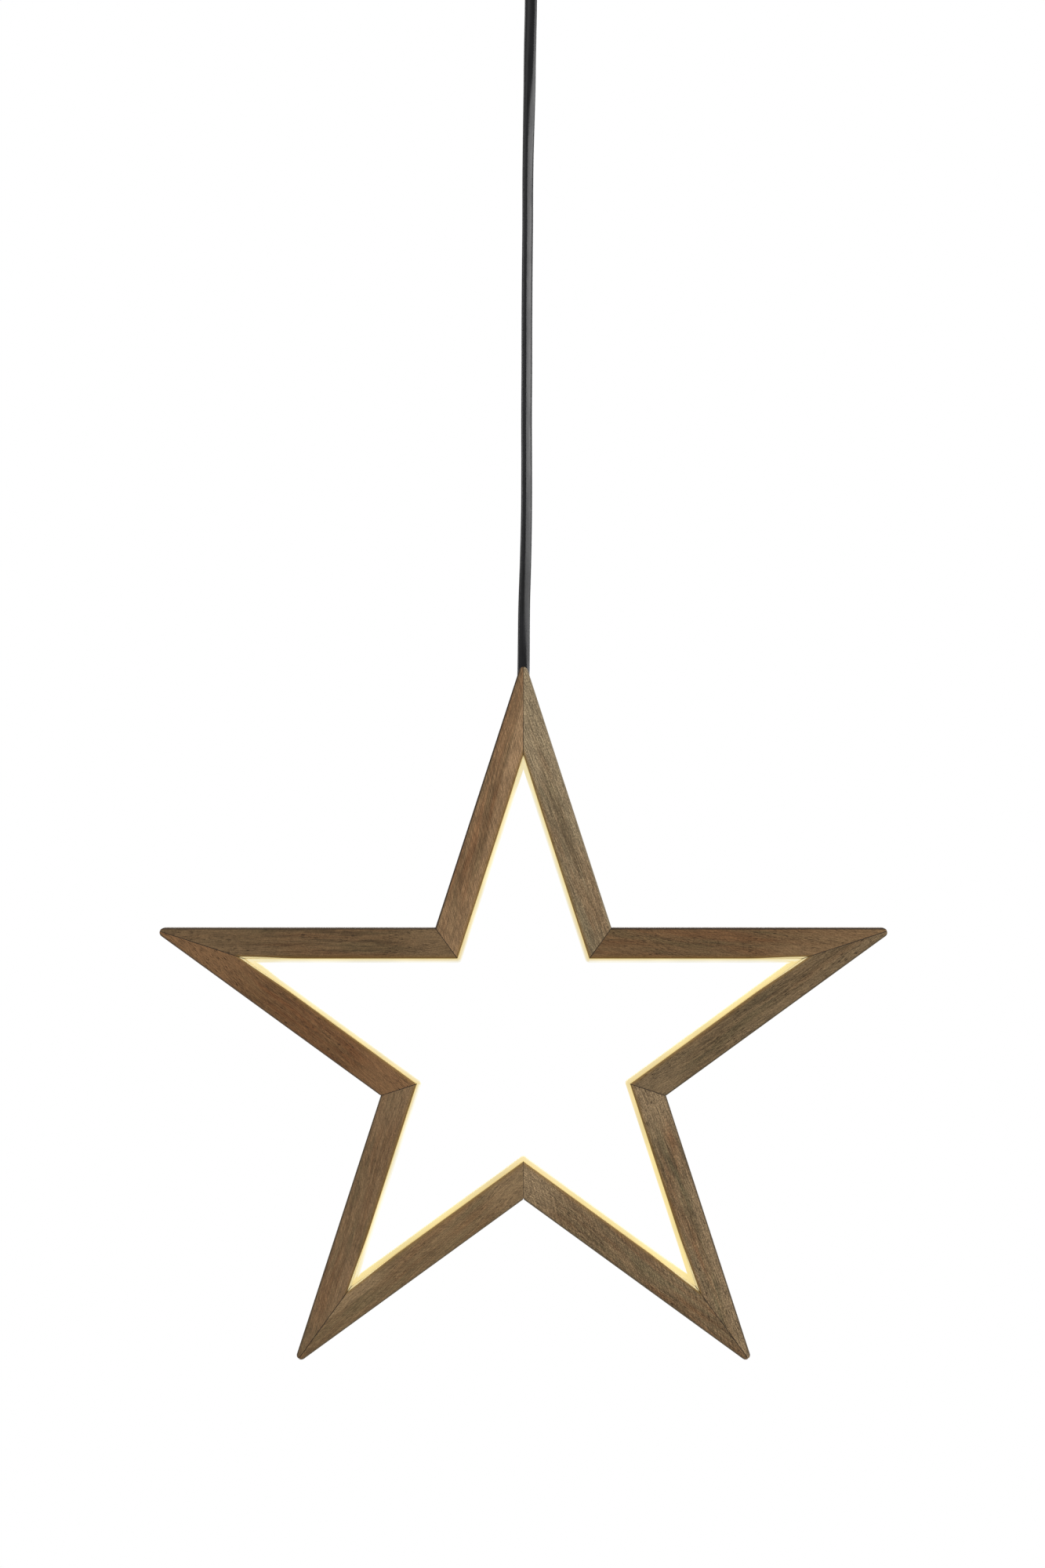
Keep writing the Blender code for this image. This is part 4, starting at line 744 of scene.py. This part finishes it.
def wood_look(bar, seed):
    """Stained wood whose grain runs along one bar."""
    tone = bar.tone
    normal = arm_angle(bar.arm) + bar.side * (math.pi / 2 - HALF_POINT)
    out = Vector((math.cos(normal), 0, math.sin(normal)))
    look = Look(bar.name)
    place = look.place(STAR_CENTRE + INNER_LINE * out, math.atan2(out.x, out.z))
    along, deep, across = look.parts(place)
    # The grain's own axes: aslant to the bar, and bent by a slow wander
    sway = look.noise(place, (52.0, 30.0, 26.0), seed=seed, detail=1.0)
    stray = look.times(look.plus(sway, -NOISE_MIDDLE), bar.wander / NOISE_REACH)
    drift = look.plus(look.times(along, bar.slope), stray)
    grain = look.vector(along, deep, look.plus(across, drift))
    bands = look.noise(grain, (44.0, 9.0, 2.1), seed=seed + 1, detail=4.0, rough=0.65)
    fibres = look.noise(grain, (9.0, 0.9, 0.50), seed=seed + 2, detail=2.0, rough=0.6)
    mottle = look.noise(grain, (3.6, 1.6, 1.5), seed=seed + 3, detail=4.0, rough=0.7)
    dashes = look.noise(grain, (3.4, 0.5, 0.30), seed=seed + 4, detail=0.0)
    patches = look.noise(grain, (40.0, 12.0, 4.0), seed=seed + 5, detail=3.0)
    clusters = look.noise(grain, (22.0, 14.0, 6.0), seed=seed + 6, detail=1.0)
    slanting = look.turned(place, math.radians(bar.slant))
    marks = look.noise(slanting, (10.0, 1.0, 0.55), seed=seed + 7, detail=2.0, rough=0.6)
    grit = look.noise(grain, (1.0, 0.8, 0.60), seed=seed + 8, detail=1.0)
    # Streaks, then ruddy, green-grey and paler places
    streak = look.fade(bands, *NARROW_SPAN, 0.5 - bar.streaks / 2, 0.5 + bar.streaks / 2)
    colour = look.mix(streak, tinted(tone, DARK_STREAK), tinted(tone, PALE_STREAK))
    ruddy = look.fade(patches, 0.48, 0.66, 0.0, bar.ruddy)
    colour = look.mix(ruddy, colour, tinted(tone, RUDDY_PATCH))
    green_grey = look.fade(patches, 0.50, 0.34, 0.0, 0.3 + 0.4 * bar.ruddy)
    colour = look.mix(green_grey, colour, tinted(tone, GREEN_GREY_PATCH))
    reach = look.math("ABSOLUTE", along)
    for share, where in zip(bar.pale, paler_places(look, bar, reach, across)):
        paler = tinted(tone, [1.0 + part * max(1.0, share) for part in PALER_WOOD])
        colour = look.mix(look.times(where, min(1.0, share)), colour, paler)
    # The fine figure, pale flecks and dark pores
    cluster = look.fade(clusters, *NARROW_SPAN)
    lines = look.fade(fibres, 0.43, 0.56, 0.82, 1.10)
    speckle = look.fade(mottle, *NARROW_SPAN, 0.93, 1.07)
    scratch = look.fade(marks, 0.44, 0.56, 1.0 - 0.20 * bar.marked, 1.0 + 0.14 * bar.marked)
    crumb = look.fade(grit, *NARROW_SPAN, 1.0 - 0.17 * bar.gritty, 1.0 + 0.16 * bar.gritty)
    figure = look.times(look.times(lines, speckle), look.times(scratch, crumb))
    colour = look.vector_math("SCALE", {0: colour, "Scale": figure})
    fleck = look.times(look.fade(dashes, 0.36, 0.28), look.fade(clusters, 0.55, 0.40, 0.0, 0.5))
    colour = look.mix(fleck, colour, tinted(tone, FLECK))
    pore = look.times(look.fade(dashes, 0.61, 0.69), look.times(cluster, bar.porous))
    colour = look.mix(pore, colour, tinted(tone, PORE))
    # Painted shade and painted reflection on the front outer edge, painted light from the strip on the
    # wood beside it, and dark mitres
    rim = look.fade(across, BAR_WIDTH - EDGE_SHADING_END, BAR_WIDTH - EDGE_SHADING_FULL, 0.0, 0.95)
    colour = look.mix(look.times(rim, look.fade(deep, *EDGE_SHADING_DEPTH)), colour, srgb(*bar.edge))
    # Painted light from the strip: a warm tint, then a golden band that is brighter where the inner
    # face looks up, then lit cream at the inner edge
    further = LIT_FURTHER if bar.arm else LIT_FURTHER_TOP
    lit = look.plus(across, look.fade(reach, *LIT_ALONG, 0.0, further))
    golden = PAINTED_GOLDEN_LIGHT_TONE_UP if out.z < FACES_UP else PAINTED_GOLDEN_LIGHT_TONE
    colour = look.mix(look.fade(across, *PAINTED_WARM_LIGHT_SIDE, 0.0, 0.35), colour, srgb(*PAINTED_WARM_LIGHT_TONE))
    colour = look.mix(look.fade(lit, *PAINTED_GOLDEN_LIGHT_SIDE, 0.0, 0.75), colour, srgb(*golden))
    colour = look.mix(look.fade(lit, *LIT_SIDE, 0.0, 0.90), colour, srgb(*LIT_TONE))
    height = look.plus(across, INNER_LINE / MM)
    for angle, sign, dark in zip((HALF_POINT, math.pi / 2 - HALF_ARM_STEP), (-1.0, 1.0), bar.mitres):
        run = look.times(reach, sign * math.sin(angle))
        off = look.plus(run, look.times(height, -sign * math.cos(angle)))
        stain = look.fade(off, *MITRE_LINE, 0.0, dark)
        colour = look.mix(stain, colour, tinted(tone, MITRE_STAIN))
    look.set(
        base_color=colour,
        roughness=look.fade(fibres, *WIDE_SPAN, 0.55, 0.72),
        specular_ior_level=0.12,
    )
    look.bump(look.plus(look.times(figure, 0.5), look.times(pore, -0.5)), 0.14 * MM)
    return look


def make_wood():
    for index, bar in enumerate(BARS):
        paint(frame["nodes"][bar.name], wood_look(bar, SEED_STEP * index))


def glue_look():
    look = Look("mitre_glue")
    place = look.place(STAR_CENTRE)
    crumb = look.noise(place, 1.6, detail=3.0)
    dark = look.mix(look.fade(crumb, 0.45, 0.7), srgb(30, 23, 16), srgb(70, 55, 38))
    across, _, height = look.parts(place)
    middle = look.fade(look.math("ABSOLUTE", across), *PALE_GLUE_MIDDLE)
    ends = look.plus(look.fade(height, *PALE_GLUE_TIP), look.fade(height, *PALE_GLUE_WAIST))
    faint = look.times(middle, ends)
    look.set(
        base_color=look.mix(faint, dark, srgb(122, 101, 76)),
        roughness=look.fade(crumb, *WIDE_SPAN, 0.55, 0.75),
    )
    look.bump(crumb, 0.1 * MM)
    return look


def make_glue():
    """A thin sheet of dried glue in each of the ten mitres, a dark line between the bars."""
    points, faces = [], []
    waist_in, waist_out = (line / math.cos(HALF_ARM_STEP) for line in (INNER_LINE, OUTER_LINE))
    half = GLUE_THICKNESS / 2
    for arm in range(ARMS):
        angle = arm_angle(arm)
        sheets = (
            (angle, INNER_RADIUS, STAR_TIP, GLUE_BACK if arm else GLUE_BACK_TOP),
            (angle + HALF_ARM_STEP, waist_in, waist_out, GLUE_BACK),
        )
        for heading, start, end, back in sheets:
            first = len(points)
            for along in (start + GLUE_INSET, end - GLUE_INSET):
                for across in (-half, half):
                    x, z = on_arm(heading, along, across)
                    points += [(x, GLUE_FRONT, z), (x, back, z)]
            faces += [tuple(first + corner for corner in face) for face in BOX_FACES]
    glue = make_mesh("mitre_glue", points, faces, smooth=False)
    paint(glue, glue_look())
    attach(glue, "star")


# Plastics, metals, paint and wires, by the record's material slots

FINISHES = {
    # the darker and the paler tone on screen, the grain's size and height in millimetres, and the
    # least and the greatest roughness
    "black_plastic": ((24, 24, 25), (35, 35, 36), 0.45, 0.05, (0.50, 0.66)),
    "black_nylon": ((30, 30, 31), (41, 41, 42), 0.30, 0.03, (0.42, 0.56)),
    "black_paint": ((29, 29, 31), (34, 34, 36), 0.60, 0.05, (0.42, 0.47)),
    "white_plastic": ((221, 219, 213), (234, 233, 228), 0.50, 0.03, (0.44, 0.58)),
    "brown_core": ((92, 56, 36), (108, 68, 45), 0.70, 0.02, (0.28, 0.42)),
    "blue_core": ((34, 82, 158), (46, 98, 176), 0.70, 0.02, (0.28, 0.42)),
    "red_lead": ((176, 30, 27), (196, 40, 34), 0.60, 0.02, (0.28, 0.42)),
    "black_lead": ((26, 26, 27), (37, 37, 38), 0.60, 0.02, (0.28, 0.42)),
}


def finish_look(slot, darker, paler, size, height, rough):
    """Moulded, extruded or coated stuff: cloudy tone, fine grain and uneven gloss."""
    look = Look(slot)
    place = look.place()
    cloud = look.noise(place, 16 * size, detail=3.0, rough=0.6)
    grain = look.noise(place, size, seed=3.0, detail=2.0)
    rubbed = look.noise(place, 9 * size, seed=5.0, detail=2.0)
    speck = look.times(look.fade(grain, 0.58, 0.72), 0.5)
    shade = look.plus(look.fade(cloud, *USUAL_SPAN, 0.0, 0.8), speck)
    look.set(
        base_color=look.mix(shade, srgb(*darker), srgb(*paler)),
        roughness=look.fade(rubbed, 0.32, 0.68, *rough),
        specular_ior_level=0.4,
    )
    look.bump(grain, height * MM)
    return look


def zinc_look():
    """Zinc-plated steel: faint crystals, rolling lines and dull patches."""
    look = Look("zinc_steel")
    place = look.place()
    crystal = look.parts(look.cells(place, 2.2))[0]
    lines = look.noise(place, (7.0, 0.22, 0.7), seed=2.0, detail=2.0)
    dull = look.noise(place, 5.0, seed=4.0, detail=3.0)
    colour = look.mix(look.fade(lines, *USUAL_SPAN), srgb(158, 161, 166), srgb(194, 196, 198))
    colour = look.mix(look.fade(dull, 0.45, 0.70, 0.0, 0.6), colour, srgb(142, 144, 146))
    colour = look.mix(look.fade(crystal, 0.0, 1.0, 0.0, 0.35), colour, srgb(176, 178, 181))
    look.set(
        base_color=colour,
        metallic=1.0,
        roughness=look.fade(dull, *USUAL_SPAN, 0.26, 0.46),
    )
    look.bump(look.plus(look.times(lines, 0.6), look.times(dull, 0.4)), 0.005 * MM)
    return look


def brass_look():
    """Turned brass, a little tarnished."""
    look = Look("brass")
    place = look.place()
    lines = look.noise(place, (0.5, 0.5, 0.08), detail=2.0)
    stain = look.noise(place, 1.6, seed=3.0, detail=3.0)
    colour = look.mix(look.fade(lines, *USUAL_SPAN), srgb(196, 160, 92), srgb(224, 190, 118))
    look.set(
        base_color=look.mix(look.fade(stain, 0.48, 0.70, 0.0, 0.7), colour, srgb(150, 112, 62)),
        metallic=1.0,
        roughness=look.fade(stain, *USUAL_SPAN, 0.22, 0.42),
    )
    look.bump(lines, 0.01 * MM)
    return look


def strip_look():
    """The light strip's board: white varnish over two copper tracks along its edges."""
    look = Look("light_strip")
    place = look.place()
    _, deep, _ = look.parts(place)
    off = look.math("ABSOLUTE", deep)
    track = look.times(look.fade(off, *TRACK_INNER), look.fade(off, *TRACK_OUTER))
    grain = look.noise(place, 0.4, detail=2.0)
    varnish = look.mix(look.fade(grain, *USUAL_SPAN), srgb(236, 233, 222), srgb(247, 245, 238))
    look.set(
        base_color=look.mix(look.times(track, 0.3), varnish, srgb(206, 176, 132)),
        roughness=look.fade(grain, *WIDE_SPAN, 0.32, 0.48),
    )
    look.bump(look.plus(look.times(track, 0.7), look.times(grain, 0.3)), 0.03 * MM)
    return look


def smooth_shading():
    """A node group that joins a model's faces and shades them smoothly, but for its sharp edges."""
    group = bpy.data.node_groups.new("smooth_shading", "GeometryNodeTree")
    group.interface.new_socket("Geometry", in_out="INPUT", socket_type="NodeSocketGeometry")
    group.interface.new_socket("Geometry", in_out="OUTPUT", socket_type="NodeSocketGeometry")
    source, joined, edges, faces, angle, gentle, result = (
        group.nodes.new(kind)
        for kind in (
            "NodeGroupInput",
            "GeometryNodeMergeByDistance",
            "GeometryNodeSetShadeSmooth",
            "GeometryNodeSetShadeSmooth",
            "GeometryNodeInputMeshEdgeAngle",
            "FunctionNodeCompare",
            "NodeGroupOutput",
        )
    )
    joined.inputs["Distance"].default_value = WELD
    edges.domain = "EDGE"
    gentle.operation = "LESS_THAN"
    gentle.inputs[1].default_value = SHARP_ANGLE
    for start, end in (
        (source.outputs[0], joined.inputs["Geometry"]),
        (joined.outputs[0], edges.inputs["Geometry"]),
        (angle.outputs["Unsigned Angle"], gentle.inputs[0]),
        (gentle.outputs[0], edges.inputs["Shade Smooth"]),
        (edges.outputs[0], faces.inputs["Geometry"]),
        (faces.outputs[0], result.inputs[0]),
    ):
        group.links.new(start, end)
    return group


def make_finishes():
    looks = {slot: finish_look(slot, *values) for slot, values in FINISHES.items()}
    looks.update(zinc_steel=zinc_look(), brass=brass_look(), light_strip=strip_look())
    for part in frame["record"]["subparts"]:
        if part["material_slot"] in looks:
            paint(frame["nodes"][part["node"]], looks[part["material_slot"]])
    group = smooth_shading()
    for node in frame["nodes"].values():
        if not node.hide_render:
            node.modifiers.new("smooth_shading", "NODES").node_group = group


# Studio

def add_light(name, place, width, height, power, target):
    data = bpy.data.lights.new(name, "AREA")
    data.shape = "RECTANGLE"
    data.size = width
    data.size_y = height
    data.energy = power
    light = add_object(name, data)
    light.location = place
    light.rotation_euler = (target - place).to_track_quat("-Z", "Y").to_euler()


def seen_rays(tree):
    """1 for the rays that find the white background: the camera's, glossy and transmitted."""
    path = tree.nodes.new("ShaderNodeLightPath")
    total = path.outputs["Is Camera Ray"]
    for name in ("Is Glossy Ray", "Is Transmission Ray"):
        add = tree.nodes.new("ShaderNodeMath")
        add.operation = "MAXIMUM"
        tree.links.new(total, add.inputs[0])
        tree.links.new(path.outputs[name], add.inputs[1])
        total = add.outputs[0]
    return total


def make_world():
    world = bpy.data.worlds.new("studio")
    world.use_nodes = True
    tree = world.node_tree
    sky = tree.nodes["Background"]
    white = tree.nodes.new("ShaderNodeBackground")
    white.inputs["Color"].default_value = (1, 1, 1, 1)
    sky.inputs["Color"].default_value = (1, 1, 1, 1)
    sky.inputs["Strength"].default_value = WORLD_FILL
    mix = tree.nodes.new("ShaderNodeMixShader")
    tree.links.new(seen_rays(tree), mix.inputs[0])
    tree.links.new(sky.outputs[0], mix.inputs[1])
    tree.links.new(white.outputs[0], mix.inputs[2])
    tree.links.new(mix.outputs[0], tree.nodes["World Output"].inputs["Surface"])
    bpy.context.scene.world = world


def make_floor():
    rim = []
    for step in range(FLOOR_STEPS):
        turn = 2 * math.pi * step / FLOOR_STEPS
        rim.append((FLOOR_RADIUS * math.cos(turn), FLOOR_RADIUS * math.sin(turn), FLOOR_LEVEL))
    floor = make_mesh("floor", rim, [tuple(range(FLOOR_STEPS))], smooth=False)
    material = bpy.data.materials.new("floor")
    material.use_nodes = True
    tree = material.node_tree
    tree.nodes.clear()
    shade = tree.nodes.new("ShaderNodeBsdfDiffuse")
    shade.inputs["Color"].default_value = (FLOOR_SHADE, FLOOR_SHADE, FLOOR_SHADE, 1)
    lift = tree.nodes.new("ShaderNodeEmission")
    strength = tree.nodes.new("ShaderNodeMath")
    strength.operation = "MULTIPLY"
    strength.inputs[1].default_value = FLOOR_LIFT
    tree.links.new(seen_rays(tree), strength.inputs[0])
    tree.links.new(strength.outputs[0], lift.inputs["Strength"])
    total = tree.nodes.new("ShaderNodeAddShader")
    tree.links.new(shade.outputs[0], total.inputs[0])
    tree.links.new(lift.outputs[0], total.inputs[1])
    output = tree.nodes.new("ShaderNodeOutputMaterial")
    tree.links.new(total.outputs[0], output.inputs["Surface"])
    floor.data.materials.append(material)


def make_studio():
    make_world()
    make_floor()
    add_light("key", KEY_PLACE, KEY_SIZE, KEY_SIZE, KEY_POWER, STAR_CENTRE)
    add_light("back", BACK_PLACE, BACK_SIZE, BACK_SIZE, BACK_POWER, STAR_CENTRE)
    add_light("side", SIDE_PLACE, SIDE_WIDTH, SIDE_HEIGHT, SIDE_POWER, CORD_MIDDLE)
    add_light("edge", EDGE_PLACE, EDGE_WIDTH, EDGE_HEIGHT, EDGE_POWER, CORD_MIDDLE)
    bpy.context.scene.view_settings.view_transform = "Standard"


def main():
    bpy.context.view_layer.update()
    make_camera()
    make_cord()
    make_cover()
    make_wood()
    make_glue()
    make_finishes()
    make_studio()


main()
